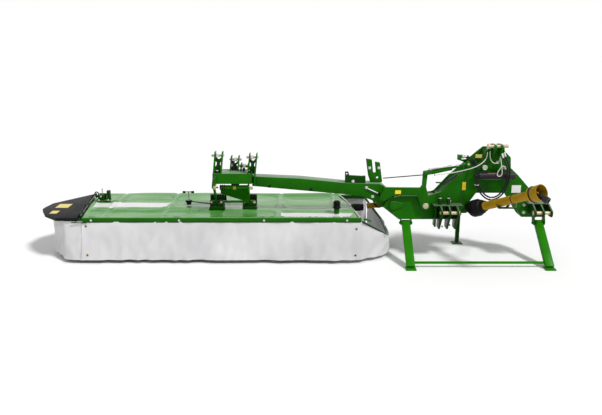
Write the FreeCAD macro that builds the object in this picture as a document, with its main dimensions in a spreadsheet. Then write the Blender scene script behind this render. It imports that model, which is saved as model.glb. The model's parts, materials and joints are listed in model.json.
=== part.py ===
import FreeCAD, Part
import math
import os
import re

import Sketcher

# A rear-mounted, centre-suspended disc mower standing on its parking stand.
# Millimetres and degrees. X runs across the machine, from the outer end of the mowing
# bed to the headstock, Y runs rearwards and Z up. The floor is z = 0.

DOC = FreeCAD.newDocument("disc_mower")
SHEET = DOC.addObject("Spreadsheet::Sheet", "dims")
NODES = {}

DIMENSIONS = {
    # mowing bed, its covers and curtains
    "bed_front": -285, "bed_rear": 830, "rail_left": -2110, "rail_right": 715,
    "outer_end": -2520, "inner_end": 1030, "corner_left": -2310, "corner_right": 957,
    "corner_step": 30, "outer_side_front": 35, "inner_side_front": -30,
    "outer_side_rear": 380, "outer_rear_across": -2290, "outer_rear_row": 640,
    "rear_left": -2250, "inner_side_rear": 560, "rear_right": 880,
    "inner_corner_step": 145, "cover_left_front": -2120, "cover_left_rear": -2262,
    "cover_right_rear": 520, "cover_right_mid": 600, "cover_mid_row": 515,
    "shield_base": 456, "shield_thick": 30, "shield_inset": 22, "hinge_tube": 8,
   
    "skirt_bottom": 40, "skirt_top": 448, "skirt_thick": 6, "inner_skirt_low": 240,
    "rail_base": 450, "rail_tall": 40, "rail_deep": 36, "hinge_setback": 52,
    "knuckle_back": 46, "knuckle_up": 33,
    "knuckle_first": -2020, "knuckle_pitch": 860, "knuckle_radius": 6,
    "cover_thick": 12, "fit_gap": 0.3,
    # frame of the bed
    "tube_side": 40, "frame_top": 460, "bed_beam_front": 60, "bed_beam_deep": 120,
    "bed_beam_tall": 100, "bed_beam_left": -2180, "bed_beam_right": 640,
    "breather_across": 472, "breather_row": -45,
    "tube_first": -1934.6, "tube_pitch": 602,
    # cutter bar and discs
    "disc_count": 7, "disc_pitch": 430, "disc_first": -2035, "disc_row": 150,
    "bar_front": 20, "bar_rear": 400, "bar_base": 10, "bar_top": 70,
    "bar_left": -2235, "bar_right": 760, "skid_wide": 280, "skid_nose": -90,
    "hub_radius": 62, "hub_top": 90, "disc_base": 97, "disc_thick": 8,
    "disc_half_long": 185, "disc_half_wide": 138, "blade_tip": 260, "blade_wide": 48,
    "blade_thick": 5, "dome_radius": 105, "dome_tall": 34, "drum_radius": 128,
    "drum_top": 330,
    "hanger_row": 440, "hanger_thick": 12, "hanger_wide": 90,
    # gearbox at the inner end of the bar, and the drive line
    "bevel_left": 500, "bevel_right": 610, "bevel_rear": 330,
    "bevel_base": 345, "bevel_top": 452, "input_right": 670, "drive_row": 250,
    "input_height": 458, "boot_length": 108, "boot_gap": 36, "boot_big": 40,
    "boot_small": 34, "shaft_radius": 38, "inner_shaft_radius": 30,
    "outer_shaft_long": 520, "cross_pin": 9,
    "drive_end": 1590, "drive_end_height": 550,
    # boom
    "boom_front": 0, "boom_wide": 150, "boom_left": -407, "boom_left_top": 853,
    "boom_left_base": 752, "boom_mid": 550, "boom_mid_top": 785, "boom_mid_base": 664,
    "boom_right": 919, "boom_right_top": 774, "boom_right_base": 602,
    "pivot_across": 1060, "pivot_height": 558, "pivot_eye": 75, "pivot_pin": 30,
    "cheek_front": -40, "cheek_thick": 30, "cheek_gap": 10,
    "side_gap": 6,
    "boom_near": 90, "boom_near_top": 831, "boom_near_base": 710, "boom_neck_base": 549,
    "boom_under": 736, "boom_under_base": 639, "fork_front": 70,
    # headstock
    "end_left": 2400, "end_right": 2650, "end_base": 430, "end_top": 600,
    "arch_front": 800, "arch_rear": 651, "shelf_height": 582, "bracket_low": 330,
    "lug_pitch": 82, "flange_thick": 10, "snout_across": 1860, "snout_radius": 34,
    "beam_left": 1250, "beam_step": 1500, "beam_right": 1750, "beam_base": 405,
    "beam_top": 655, "beam_low_top": 500, "beam_rear": 190, "beam_low_rear": 60,
    "hitch_centre": 2080, "hitch_spacing": 944, "link_row": -225, "link_height": 524,
    "link_pin": 18, "link_pin_long": 195, "lug_thick": 16,
    "mast_front": -40, "mast_rear": 130, "mast_plate": 16, "top_pin_height": 1190,
    "top_pin": 16, "top_pin_long": 200, "top_lug_gap": 50, "top_pin_row": -120,
    "gearbox_left": 1640, "gearbox_right": 1890, "gearbox_front": 75,
    "gearbox_rear": 335, "gearbox_base": 440, "gearbox_top": 620,
    "tank_radius": 41, "tank_long": 364, "gauge_radius": 24,
    # linkage that lifts the boom
    "lever_plane": -75, "lever_thick": 30, "lever_across": 1387, "lever_height": 562,
    "lever_pin": 16, "lug_across": 1370, "lug_height": 905, "anchor_across": 1800,
    "anchor_height": 1000, "barrel_radius": 27, "barrel_start": 60,
    "barrel_end": 272, "anchor_pin": 12, "lug_hole": 9, "fork_gap": 6, "fork_sheet": 12, "rod_radius": 14,
    # power shaft
    "pto_across": 1890, "pto_row": -100, "pto_height": 537, "pto_run_across": 440,
    "pto_run_forward": -735, "pto_run_up": 358, "pto_tube": 40, "pto_cone": 73,
    "pto_length": 835, "boot_wide": 89, "joint_depth": 15, "spider_radius": 20, "stub_radius": 10,
    "yoke_run_across": 58, "yoke_run_forward": -74, "yoke_run_up": -35,
    "yoke_long": 134, "collar_radius": 34, "cradle_along": 400, "hook_radius": 9, "spline_radius": 17.5,
    # parking stand and rear leg
    "stand_row": -20, "stand_height": 362, "stand_foot_row": -455, "leg_left": 1200,
    "leg_right": 2592, "leg_wide": 84, "leg_deep": 44, "ear_thick": 10,
    "ear_round": 18, "leg_head": 22, "foot_plate": 8, "stand_pin": 12,
    "cross_tube": 13, "cross_height": 52, "prop_across": 1852, "prop_row": 405,
    "prop_side": 40, "prop_top": 600, "sleeve_side": 54, "sleeve_base": 330,
    # arm, link and feet between the suspension and the bed
    "arm_left": -743, "arm_right": -445, "arm_row": 0, "arm_tube_radius": 24,
    "arm_low": 560, "slab_row": 60, "left_foot": -793, "foot_row": 108,
    "clamp_height": 538, "clamp_radius": 38, "clamp_half": 70, "clamp_pin": 12,
    "link_front": -80,
    # suspension over the middle of the bed
    "head_centre": -588, "tilt_height": 738, "head_left": -810,
    "head_base": 784, "head_top": 892, "ladder_top": 1118,
    "head_front": -45, "head_rear": 195, "ladder_lean": 0.109,
    "ladder_deep": 75, "cheek_sheet": 13, "notch": 14, "boss_front": -28,
    "boss_rear": 28, "tilt_radius": 30, "tilt_pin": 15,
}

# The bends of each hose and rope from its fitting to its far end, and its diameter.
# The inner face of the rear cheek stands clear of the boom.
CHEEK_REAR = "boom_front + boom_wide + cheek_gap"

CORDS = {
    "hose_one": (16, [(1732, -62, 1052), (1810, -62, 1052), (1864, -86, 1004),
                      (1866, -128, 920), (1868, -142, 830), (1915, -145, 715),
                      (2020, -148, 628), (2130, -150, 668), (2190, -158, 780),
                      (2208, -165, 900), (2200, -140, 1000), (2172, -100, 1070),
                      (2156, -84, 1120)]),
    "hose_two": (16, [(1740, -62, 1076), (1806, -62, 1076), (1870, -92, 1034),
                      (1888, -126, 950), (1890, -150, 835), (1936, -152, 725),
                      (2022, -154, 660), (2110, -156, 684), (2168, -164, 790),
                      (2184, -172, 900), (2176, -147, 990), (2148, -107, 1058),
                      (2132, -91, 1108)]),
    "rope_short": (9, [(2016, -72, 1130), (2016, -72, 1080), (2032, -76, 1030),
                       (2066, -80, 1004), (2104, -80, 1012), (2122, -76, 1045),
                       (2122, -76, 1080)]),
    "rope_long": (9, [(1990, -72, 1122), (1990, -72, 1075), (1958, -105, 1038),
                      (1905, -145, 1008), (1840, -150, 975), (1750, -128, 945),
                      (1640, -120, 918), (1540, -120, 904), (1457, -120, 895)]),
}
BEND_SHARE = 0.45

COVER_BASE = "(frame_top + fit_gap)"


def write_sheet():
    """Write each driving dimension into a cell of the sheet and give it its alias."""
    for row, (alias, number) in enumerate(DIMENSIONS.items(), start=1):
        SHEET.set(f"A{row}", alias)
        SHEET.set(f"B{row}", str(number))
        SHEET.setAlias(f"B{row}", alias)
    DOC.recompute()


def bound(text):
    """Return the expression with every alias in it pointed at the sheet."""
    return re.sub(r"[a-z_]+[a-z]", lambda found: f"dims.{found.group()}"
                  if found.group() in DIMENSIONS else found.group(), str(text))


def value(text):
    """Work out an expression of aliases as a plain number."""
    answer = SHEET.evalExpression(bound(text))
    return float(getattr(answer, "Value", answer))


def point(place):
    """Work out a triple of expressions as a vector."""
    return FreeCAD.Vector(*(value(text) for text in place))


def node(name, shape):
    """Name a finished sub-part, which is later written to its own file."""
    shape.Label = name
    NODES[name] = shape
    return shape


def set_base(shape, place):
    """Bind the three coordinates of an object's base point."""
    for letter, text in zip("xyz", place):
        shape.setExpression(f"Placement.Base.{letter}", bound(text))


def block(name, left, right, front, rear, base, top):
    """A box between six planes."""
    box = DOC.addObject("Part::Box", name)
    box.setExpression("Length", bound(f"({right}) - ({left})"))
    box.setExpression("Width", bound(f"({rear}) - ({front})"))
    box.setExpression("Height", bound(f"({top}) - ({base})"))
    set_base(box, (left, front, base))
    return box


def rod(name, axis, start, length, radius):
    """A round bar from a start point along the X, Y or Z axis."""
    bar = DOC.addObject("Part::Cylinder", name)
    towards = {"X": (1, 0, 0), "Y": (0, 1, 0), "Z": (0, 0, 1)}[axis]
    turn = FreeCAD.Rotation(FreeCAD.Vector(0, 0, 1), FreeCAD.Vector(*towards))
    bar.Placement = FreeCAD.Placement(FreeCAD.Vector(), turn)
    bar.setExpression("Height", bound(length))
    bar.setExpression("Radius", bound(radius))
    set_base(bar, start)
    return bar


def strut(name, start, end, radius):
    """A round bar between two points given by expressions."""
    first, last = point(start), point(end)
    bar = DOC.addObject("Part::Cylinder", name)
    bar.Height = (last - first).Length
    bar.setExpression("Radius", bound(radius))
    turn = FreeCAD.Rotation(FreeCAD.Vector(0, 0, 1), last - first)
    bar.Placement = FreeCAD.Placement(first, turn)
    return bar


def ball(name, centre, radius):
    """A sphere, which rounds the bend of a bar."""
    sphere = DOC.addObject("Part::Sphere", name)
    sphere.setExpression("Radius", bound(radius))
    set_base(sphere, centre)
    return sphere


def bent_bar(name, places, radius):
    """A bar made of straight struts with a slightly fuller ball at each bend."""
    pieces = []
    for index, (start, end) in enumerate(zip(places, places[1:])):
        pieces.append(strut(f"{name}_run_{index + 1}", start, end, radius))
    for index, place in enumerate(places[1:-1]):
        pieces.append(ball(f"{name}_bend_{index + 1}", place, f"({radius}) * 1.06"))
    return fuse(name, pieces)


def sketch_on(body, name, plane, offset):
    """A sketch on one of a body's own origin planes, moved along the plane's normal."""
    sketch = body.newObject("Sketcher::SketchObject", name)
    roles = {feature.Role: feature for feature in body.Origin.OriginFeatures}
    sketch.AttachmentSupport = (roles[f"{plane}_Plane"], [""])
    sketch.MapMode = "FlatFace"
    sign = -1 if plane == "XZ" else 1
    sketch.setExpression("AttachmentOffset.Base.z", bound(f"{sign} * ({offset})"))
    return sketch


def draw_outline(sketch, corners):
    """Draw a closed outline whose every corner is held by two bound distances."""
    places = [FreeCAD.Vector(value(across), value(up), 0) for across, up in corners]
    first = sketch.GeometryCount
    for start, end in zip(places, places[1:] + places[:1]):
        sketch.addGeometry(Part.LineSegment(start, end))
    count = len(places)
    for index, (across, up) in enumerate(corners):
        line, after = first + index, first + (index + 1) % count
        sketch.addConstraint(Sketcher.Constraint("Coincident", line, 2, after, 1))
        for kind, text in (("DistanceX", across), ("DistanceY", up)):
            held = Sketcher.Constraint(kind, -1, 1, line, 1, value(text))
            number = sketch.addConstraint(held)
            sketch.setExpression(f"Constraints[{number}]", bound(text))


def draw_hole(sketch, across, up, radius):
    """Draw a circle held by its centre and radius."""
    centre = FreeCAD.Vector(value(across), value(up), 0)
    normal = FreeCAD.Vector(0, 0, 1)
    line = sketch.addGeometry(Part.Circle(centre, normal, value(radius)))
    held = [("DistanceX", across), ("DistanceY", up)]
    for kind, text in held:
        number = sketch.addConstraint(Sketcher.Constraint(kind, -1, 1, line, 3, value(text)))
        sketch.setExpression(f"Constraints[{number}]", bound(text))
    number = sketch.addConstraint(Sketcher.Constraint("Radius", line, value(radius)))
    sketch.setExpression(f"Constraints[{number}]", bound(radius))


def corner_edges(shape, plane, corners):
    """Find the edges that run along the plane's normal through the given corners."""
    picks = {"XY": (0, 1, 2), "XZ": (0, 2, 1), "YZ": (1, 2, 0)}[plane]
    wanted = [(value(across), value(up)) for across, up in corners]
    names = []
    for index, edge in enumerate(shape.Edges, start=1):
        start, end = (vertex.Point for vertex in (edge.Vertexes[0], edge.Vertexes[-1]))
        if abs(start[picks[2]] - end[picks[2]]) < 0.5 or len(edge.Vertexes) < 2:
            continue
        for across, up in wanted:
            near = math.hypot(start[picks[0]] - across, start[picks[1]] - up) < 0.01
            if near and math.hypot(end[picks[0]] - across, end[picks[1]] - up) < 0.01:
                names.append(f"Edge{index}")
    return names


def plate(name, plane, corners, near, far, holes=(), rounds=()):
    """A padded outline between two planes, with round holes and rounded corners.

    Each entry of rounds is a radius and the corner numbers that take it.
    """
    body = DOC.addObject("PartDesign::Body", name)
    sketch = sketch_on(body, f"{name}_outline", plane, near)
    draw_outline(sketch, corners)
    for across, up, radius in holes:
        draw_hole(sketch, across, up, radius)
    pad = body.newObject("PartDesign::Pad", f"{name}_pad")
    pad.Profile = sketch
    pad.Reversed = plane == "XZ"
    pad.setExpression("Length", bound(f"({far}) - ({near})"))
    DOC.recompute()
    for index, (radius, numbers) in enumerate(rounds, start=1):
        base = body.Tip
        edges = corner_edges(base.Shape, plane, [corners[number] for number in numbers])
        fillet = body.newObject("PartDesign::Fillet", f"{name}_round_{index}")
        fillet.Base = (base, edges)
        fillet.setExpression("Radius", bound(radius))
        DOC.recompute()
    return body


def turned(name, corners, start, towards):
    """A turned piece: an outline of (distance along, radius) spun about its axis."""
    body = DOC.addObject("PartDesign::Body", name)
    sketch = sketch_on(body, f"{name}_profile", "XZ", 0)
    draw_outline(sketch, corners)
    spin = body.newObject("PartDesign::Revolution", f"{name}_spin")
    spin.Profile = sketch
    spin.ReferenceAxis = (sketch, ["H_Axis"])
    spin.Angle = 360
    turn = FreeCAD.Rotation(FreeCAD.Vector(1, 0, 0), FreeCAD.Vector(*towards))
    body.Placement = FreeCAD.Placement(point(start), turn)
    set_base(body, start)
    return body


def fuse(name, pieces):
    """Join pieces that touch into one solid."""
    if len(pieces) == 1:
        return pieces[0]
    whole = DOC.addObject("Part::MultiFuse", name)
    whole.Shapes = pieces
    return whole


def cut(name, base, tools):
    """Take one or more tools away from a base."""
    tool = fuse(f"{name}_tools", tools)
    rest = DOC.addObject("Part::Cut", name)
    rest.Base = base
    rest.Tool = tool
    return rest


def stand_ears(side, middle, seat):
    """The two ears under a seat on the headstock that carry a leg of the stand."""
    corners = [("stand_row - 20", seat), ("stand_row - 42", "stand_height + 14"),
               ("stand_row - 34", "stand_height - 20"),
               ("stand_row + 34", "stand_height - 20"), ("stand_row + 50", seat)]
    hole = [("stand_row", "stand_height", "stand_pin + fit_gap")]
    ears = []
    for number, sign in enumerate((-1, 1), start=1):
        inner = f"{middle} + {sign} * (leg_wide / 2 + side_gap)"
        outer = f"{middle} + {sign} * (leg_wide / 2 + side_gap + ear_thick)"
        near, far = (outer, inner) if sign < 0 else (inner, outer)
        ears.append(plate(f"stand_ear_{side}_{number}", "YZ", corners, near, far, hole,
                          [("ear_round", [2, 3])]))
    return ears


def make_beam():
    """The transverse beam of the headstock, with the two cheeks of the boom pivot."""
    cheek = [("pivot_across - 75", "pivot_height + 42"),
             ("pivot_across - 105", "pivot_height - 23"),
             ("pivot_across + 60", "beam_base"),
             ("beam_step - 30", "beam_base"),
             ("beam_step - 30", "beam_top"),
             ("pivot_across + 70", "beam_top"),
             ("pivot_across - 40", "pivot_height + 72")]
    pin_hole = [("pivot_across", "pivot_height", "pivot_pin + fit_gap")]
    rounds = [(20, [0, 1, 6])]
    front = plate("cheek_front_plate", "XZ", cheek, "cheek_front",
                  "cheek_front + cheek_thick", pin_hole, rounds)
    rear = plate("cheek_rear_plate", "XZ", cheek, CHEEK_REAR,
                 f"{CHEEK_REAR} + cheek_thick", pin_hole, rounds)
    high = block("beam_high", "beam_left", "beam_step", "cheek_front", "beam_rear",
                 "beam_base", "beam_top")
    low = block("beam_low", "beam_left", "beam_right", "cheek_front", "beam_low_rear",
                "beam_base", "beam_low_top")
    floor = block("beam_floor", "pivot_across + 75", "beam_left + 5", "cheek_front",
                  f"{CHEEK_REAR} + cheek_thick", "beam_base", "beam_base + 12")
    node("headstock_beam", fuse("beam", [front, rear, high, low, floor,
                                       *stand_ears("left", "leg_left", "beam_base")]))


def mast_front_outline():
    """The front plate of the mast: its slope, its two legs and its arch."""
    return [("beam_step - 92", "beam_top"), ("hitch_centre - 533", "beam_top + 47"),
            ("hitch_centre - 401", "beam_top + 191"), ("hitch_centre - 258", "beam_top + 277"),
            ("hitch_centre - 115", "beam_top + 372"),
            ("hitch_centre - 92", "top_pin_height - 37"),
            ("hitch_centre + 63", "top_pin_height - 37"),
            ("hitch_centre + 95", "top_pin_height - 65"),
            ("hitch_centre + 161", "top_pin_height - 130"),
            ("hitch_centre + 170", "beam_top + 296"), ("hitch_centre + 249", "beam_top + 223"),
            ("hitch_centre + 382", "beam_top + 77"), ("end_left + 68", "end_top + 32"),
            ("end_left + 68", "end_base"), ("end_left", "end_base"),
            ("hitch_centre + 223", "beam_top - 87"), ("hitch_centre + 132", "beam_top + 22"),
            ("hitch_centre + 49", "arch_front"), ("hitch_centre - 94", "arch_front"),
            ("hitch_centre - 169", "beam_top + 32"), ("beam_right + 18", "beam_low_top - 22"),
            ("beam_right", "beam_low_top - 50"), ("beam_right", "beam_low_top"),
            ("beam_step", "beam_low_top"), ("beam_step", "beam_top")]


def mast_rear_outline():
    """The rear plate of the mast, with a fuller slope and a lower arch."""
    return [("beam_step - 60", "beam_top"), ("beam_step + 5", "beam_top + 26"),
            ("hitch_centre - 438", "beam_top + 183"), ("hitch_centre - 249", "beam_top + 352"),
            ("hitch_centre - 151", "beam_top + 440"), ("hitch_centre - 88", "top_pin_height - 42"),
            ("hitch_centre + 63", "top_pin_height - 42"),
            ("hitch_centre + 161", "top_pin_height - 130"),
            ("hitch_centre + 170", "beam_top + 296"), ("hitch_centre + 249", "beam_top + 223"),
            ("hitch_centre + 382", "beam_top + 77"), ("end_left + 68", "end_top + 32"),
            ("end_left + 68", "end_base"), ("end_left", "end_base"),
            ("hitch_centre + 223", "beam_top - 87"), ("hitch_centre + 170", "arch_rear"),
            ("hitch_centre - 130", "arch_rear"), ("gearbox_right + 10", "gearbox_top + 8"),
            ("gearbox_left - 10", "gearbox_top + 8"), ("gearbox_left - 10", "beam_low_top"),
            ("beam_step", "beam_low_top"), ("beam_step", "beam_top")]


def make_mast():
    """The hitch mast: two plates over an arch, closed by a sloping flange between them."""
    front = plate("mast_front_plate", "XZ", mast_front_outline(), "mast_front",
                  "mast_front + mast_plate", (), [(40, [17, 18]), (30, [1, 2])])
    rear = plate("mast_rear_plate", "XZ", mast_rear_outline(), "mast_rear - mast_plate",
                 "mast_rear", (), [(30, [2, 3])])
    slope = [("beam_step + 4", "beam_top + 16"), ("hitch_centre - 538", "beam_top + 28"),
             ("hitch_centre - 420", "beam_top + 170"), ("hitch_centre - 256", "beam_top + 262"),
             ("hitch_centre - 130", "beam_top + 352"), ("hitch_centre - 92", "top_pin_height - 60")]
    under = [(f"{across} + flange_thick", f"{up} - flange_thick") for across, up in slope]
    flange = plate("mast_flange", "XZ", slope + under[::-1], "mast_front + 2",
                   "mast_rear - 2")
    tie_top = block("mast_tie_top", "hitch_centre - 70", "hitch_centre + 80",
                    "mast_front + 2", "mast_rear - 2", "top_pin_height - 100",
                    "top_pin_height - 60")
    tie_left = block("mast_tie_left", "hitch_centre - 470", "hitch_centre - 450",
                     "mast_front + 2", "mast_rear - 2", "beam_low_top",
                     "beam_top + 60")
    end = block("mast_end", "end_left", "end_right", "cheek_front", "beam_low_rear",
                "end_base", "end_top")
    tie_right = block("mast_tie_right", "end_left", "end_left + 20", "mast_front + 2",
                      "mast_rear - 2", "end_base", "beam_top")
    lug = [("top_pin_row - 45", "top_pin_height - 30"),
           ("top_pin_row - 45", "top_pin_height + 20"),
           ("top_pin_row + 40", "top_pin_height + 20"),
           ("mast_front + 60", "top_pin_height + 5"),
           ("mast_front + 60", "top_pin_height - 130"),
           ("mast_front", "top_pin_height - 130")]
    hole = [("top_pin_row", "top_pin_height", "top_pin + fit_gap")]
    lugs = []
    for side, sign in (("left", -1), ("right", 1)):
        inner = f"hitch_centre + {sign} * top_lug_gap / 2"
        outer = f"hitch_centre + {sign} * (top_lug_gap / 2 + lug_thick)"
        near, far = (outer, inner) if sign < 0 else (inner, outer)
        lugs.append(plate(f"top_lug_{side}", "YZ", lug, near, far, hole, [(25, [0, 1])]))
    ear = [("anchor_across - 34", "anchor_height - 100"),
           ("anchor_across - 26", "anchor_height + 26"),
           ("anchor_across + 26", "anchor_height + 26"),
           ("anchor_across + 70", "anchor_height - 90")]
    anchor_ear = plate("anchor_ear", "XZ", ear, "mast_front", "mast_front + mast_plate", (),
                       [(20, [1, 2])])
    node("headstock_mast", fuse("mast", [front, rear, flange, anchor_ear, tie_top, tie_right,
                                         tie_left, end, *lugs,
                                         *stand_ears("right", "leg_right", "end_base"),
                                         *cord_fittings()]))


def make_top_link_pin():
    """The top link pin, whose free end stands out of the right lug."""
    start = "hitch_centre - top_pin_long / 2"
    pin = rod("top_pin_shaft", "X", (start, "top_pin_row", "top_pin_height"),
              "top_pin_long", "top_pin")
    head = rod("top_pin_head", "X", (f"{start} - 8", "top_pin_row", "top_pin_height"),
               "12", "top_pin + 10")
    node("top_link_pin", fuse("top_pin_whole", [pin, head]))


def make_hitch_brackets():
    """The two brackets of three lugs, and the lower link pins through them."""
    low_lug = [("cheek_front", "shelf_height"), ("link_row + 30", "shelf_height"),
               ("link_row - 34", "link_height + 26"), ("link_row - 45", "link_height"),
               ("link_row - 38", "link_height - 34"), ("link_row + 75", "bracket_low"),
               ("cheek_front", "bracket_low")]
    high_lug = [("cheek_front", "end_top"), ("link_row + 75", "end_top"),
                ("link_row - 34", "link_height + 26"), ("link_row - 45", "link_height"),
                ("link_row - 30", "link_height - 39"), ("cheek_front", "link_height - 39")]
    hole = [("link_row", "link_height", "link_pin + fit_gap")]
    for side, sign, lug, corners in (("left", -1, low_lug, [2, 3, 4]),
                                     ("right", 1, high_lug, [2, 3, 4])):
        centre = f"(hitch_centre + {sign} * hitch_spacing / 2)"
        pieces = []
        for number, step in enumerate((-1, 0, 1), start=1):
            middle = f"({centre} + {step} * lug_pitch)"
            pieces.append(plate(f"link_lug_{side}_{number}", "YZ", lug,
                                f"{middle} - lug_thick / 2", f"{middle} + lug_thick / 2",
                                hole, [(14, corners)]))
        if side == "left":
            pieces.append(block("link_shelf_left", f"{centre} - 150", f"{centre} + 150",
                                "cheek_front - 120", "cheek_front", "shelf_height - 10",
                                "shelf_height"))
            pieces.append(block("link_side_left", f"{centre} - 132", f"{centre} - 116",
                                "cheek_front - 100", "cheek_front", "bracket_low + 20",
                                "shelf_height - 5"))
            for number, shift in enumerate(("-78", "8"), start=1):
                pieces.append(rod(f"link_stud_{number}", "Z",
                                  (f"{centre} + {shift}", "cheek_front - 62",
                                   "shelf_height - 2"), "66", "20"))
                pieces.append(rod(f"link_stud_tip_{number}", "Z",
                                  (f"{centre} + {shift}", "cheek_front - 62",
                                   "shelf_height + 60"), "36", "9"))
        else:
            pieces.append(block("link_shelf_right", f"{centre} - 128", f"{centre} + 92",
                                "cheek_front - 100", "cheek_front", "end_top - 10",
                                "end_top"))
        node(f"hitch_bracket_{side}", fuse(f"bracket_{side}", pieces))
        start = f"{centre} - link_pin_long / 2"
        pin = rod(f"link_pin_shaft_{side}", "X", (start, "link_row", "link_height"),
                  "link_pin_long", "link_pin")
        head_at = f"{start} - 4" if sign > 0 else f"{start} + link_pin_long - 4"
        head = rod(f"link_pin_head_{side}", "X", (head_at, "link_row", "link_height"),
                   "8", "link_pin + 5")
        node(f"lower_link_pin_{side}", fuse(f"link_pin_{side}", [pin, head]))


def make_gearbox():
    """The gearbox behind the mast, its output stub and the snout of its input."""
    case = plate("gearbox_case", "XZ",
                 [("gearbox_left", "gearbox_base + 30"), ("gearbox_left + 40", "gearbox_base"),
                  ("gearbox_right - 40", "gearbox_base"),
                  ("gearbox_right", "gearbox_base + 30"),
                  ("gearbox_right", "gearbox_top - 50"),
                  ("gearbox_right - 60", "gearbox_top"),
                  ("gearbox_left + 60", "gearbox_top"), ("gearbox_left", "gearbox_top - 50")],
                 "gearbox_front", "gearbox_rear")
    saddle = block("gearbox_saddle", "gearbox_left + 20", "beam_right - 10",
                   "beam_low_rear", "gearbox_front + 5", "gearbox_base", "beam_low_top")
    snout = rod("gearbox_snout", "Y", ("snout_across", "pto_row + 50", "pto_height + 3"),
                "gearbox_front - pto_row - 45", "snout_radius")
    output = rod("gearbox_output", "X",
                 ("drive_end - 12", "drive_row", "drive_end_height"),
                 "gearbox_left - drive_end + 20", "15")
    cross = rod("gearbox_cross", "Y", ("drive_end", "drive_row - 36", "drive_end_height"),
                "72", "cross_pin")
    node("headstock_gearbox", fuse("gearbox", [case, saddle, snout, output, cross]))


def pto_point(distance):
    """A point at a distance along the power shaft, as three expressions."""
    run = "sqrt(pto_run_across^2 + pto_run_forward^2 + pto_run_up^2)"
    return (f"pto_across + pto_run_across * ({distance}) / {run}",
            f"pto_row + pto_run_forward * ({distance}) / {run}",
            f"pto_height + pto_run_up * ({distance}) / {run}")


def yoke_point(distance):
    """A point at a distance along the outer yoke, as three expressions."""
    centre = pto_point("pto_length - joint_depth")
    run = "sqrt(yoke_run_across^2 + yoke_run_forward^2 + yoke_run_up^2)"
    runs = ("yoke_run_across", "yoke_run_forward", "yoke_run_up")
    return tuple(f"({start}) + {part} * ({distance}) / {run}"
                 for start, part in zip(centre, runs))


def make_cradle():
    """The cradle that the power shaft rests in, on its bent arm from the mast."""
    across, row, middle = (f"({part})" for part in pto_point("cradle_along"))
    low = f"({middle} - pto_tube)"
    outline = [("-66", "6"), ("-44", "-28"), ("44", "-28"), ("66", "14"), ("56", "14"),
               ("34", "-14"), ("-34", "-14"), ("-56", "6")]
    saddle = plate("pto_saddle", "XZ",
                   [(f"{across} + {aside}", f"{low} + {up}") for aside, up in outline],
                   f"{row} - 16", f"{row} + 16")
    seat = "beam_top - 30"
    hook = bent_bar("pto_hook", [("hitch_centre + 250", "mast_front", seat),
                                 ("hitch_centre + 250", "mast_front - 40", seat),
                                 (f"{across} + 150", f"{row} + 60", f"{low} - 40"),
                                 (f"{across} + 20", row, f"{low} - 22")], "hook_radius")
    node("pto_cradle", fuse("pto_cradle_whole", [hook, saddle]))


def make_power_shaft():
    """The power shaft in its guard tube, its boot, its bell, its yoke and its cradle."""
    towards = (value("pto_run_across"), value("pto_run_forward"), value("pto_run_up"))
    boot = turned("gearbox_guard", [("-14", "36"), ("-14", "84"), ("0", "boot_wide"),
                                    ("62", "boot_wide"), ("74", "80"), ("112", "72"),
                                    ("118", "58"), ("156", "55"), ("156", "pto_tube + 5"),
                                    ("80", "pto_tube + 5"), ("20", "36")],
                  ("pto_across", "pto_row + 5", "pto_height"), towards)
    collar = rod("gearbox_guard_collar", "Y",
                 ("snout_across", "pto_row + 5", "pto_height + 3"), "45", "58")
    hollow = rod("gearbox_guard_bore", "Y",
                 ("snout_across", "pto_row + 4", "pto_height + 3"), "60",
                 "snout_radius + fit_gap")
    node("pto_guard_cone", cut("gearbox_guard_whole",
                               fuse("gearbox_guard_joined", [collar, boot]), [hollow]))
    centre = "(pto_length - joint_depth)"
    tube = turned("pto_guard_tube",
                  [("84", "0"), ("84", "pto_tube"), ("pto_length - 96", "pto_tube"),
                   ("pto_length - 90", "pto_cone - 4"), ("pto_length - 72", "pto_cone - 4"),
                   ("pto_length - 66", "pto_cone"), ("pto_length", "pto_cone"),
                   ("pto_length", "pto_cone - 5"), ("pto_length - 62", "pto_cone - 5"),
                   ("pto_length - 84", "32"), ("pto_length - 84", "stub_radius"),
                   (f"{centre} - 10", "stub_radius"), (f"{centre} - 10", "0")],
                  pto_point("0"), towards)
    spider = ball("pto_spider", pto_point(centre), "spider_radius")
    node("pto_shaft", fuse("pto_shaft_whole", [tube, spider]))
    turn = (value("yoke_run_across"), value("yoke_run_forward"), value("yoke_run_up"))
    hub = turned("pto_yoke_hub", [("44", "spline_radius"), ("44", "30"), ("72", "30"),
                                  ("76", "collar_radius"), ("yoke_long", "collar_radius"),
                                  ("yoke_long", "spline_radius")], yoke_point("0"), turn)
    plates = []
    for side, sign in (("one", 1), ("two", -1)):
        near, far = (("spider_radius + fit_gap", "spider_radius + 12") if sign > 0 else
                     ("-spider_radius - 12", "-spider_radius - fit_gap"))
        arm = plate(f"yoke_arm_{side}", "XZ", [("-6", "-16"), ("50", "-16"), ("50", "16"),
                                               ("-6", "16")], near, far, (),
                    [(5, [0, 3])])
        arm.Placement = FreeCAD.Placement(point(yoke_point("0")), FreeCAD.Rotation(
            FreeCAD.Vector(1, 0, 0), FreeCAD.Vector(*turn)))
        plates.append(arm)
    node("pto_yoke", fuse("pto_yoke_whole", [hub, *plates]))
    make_cradle()


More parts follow.
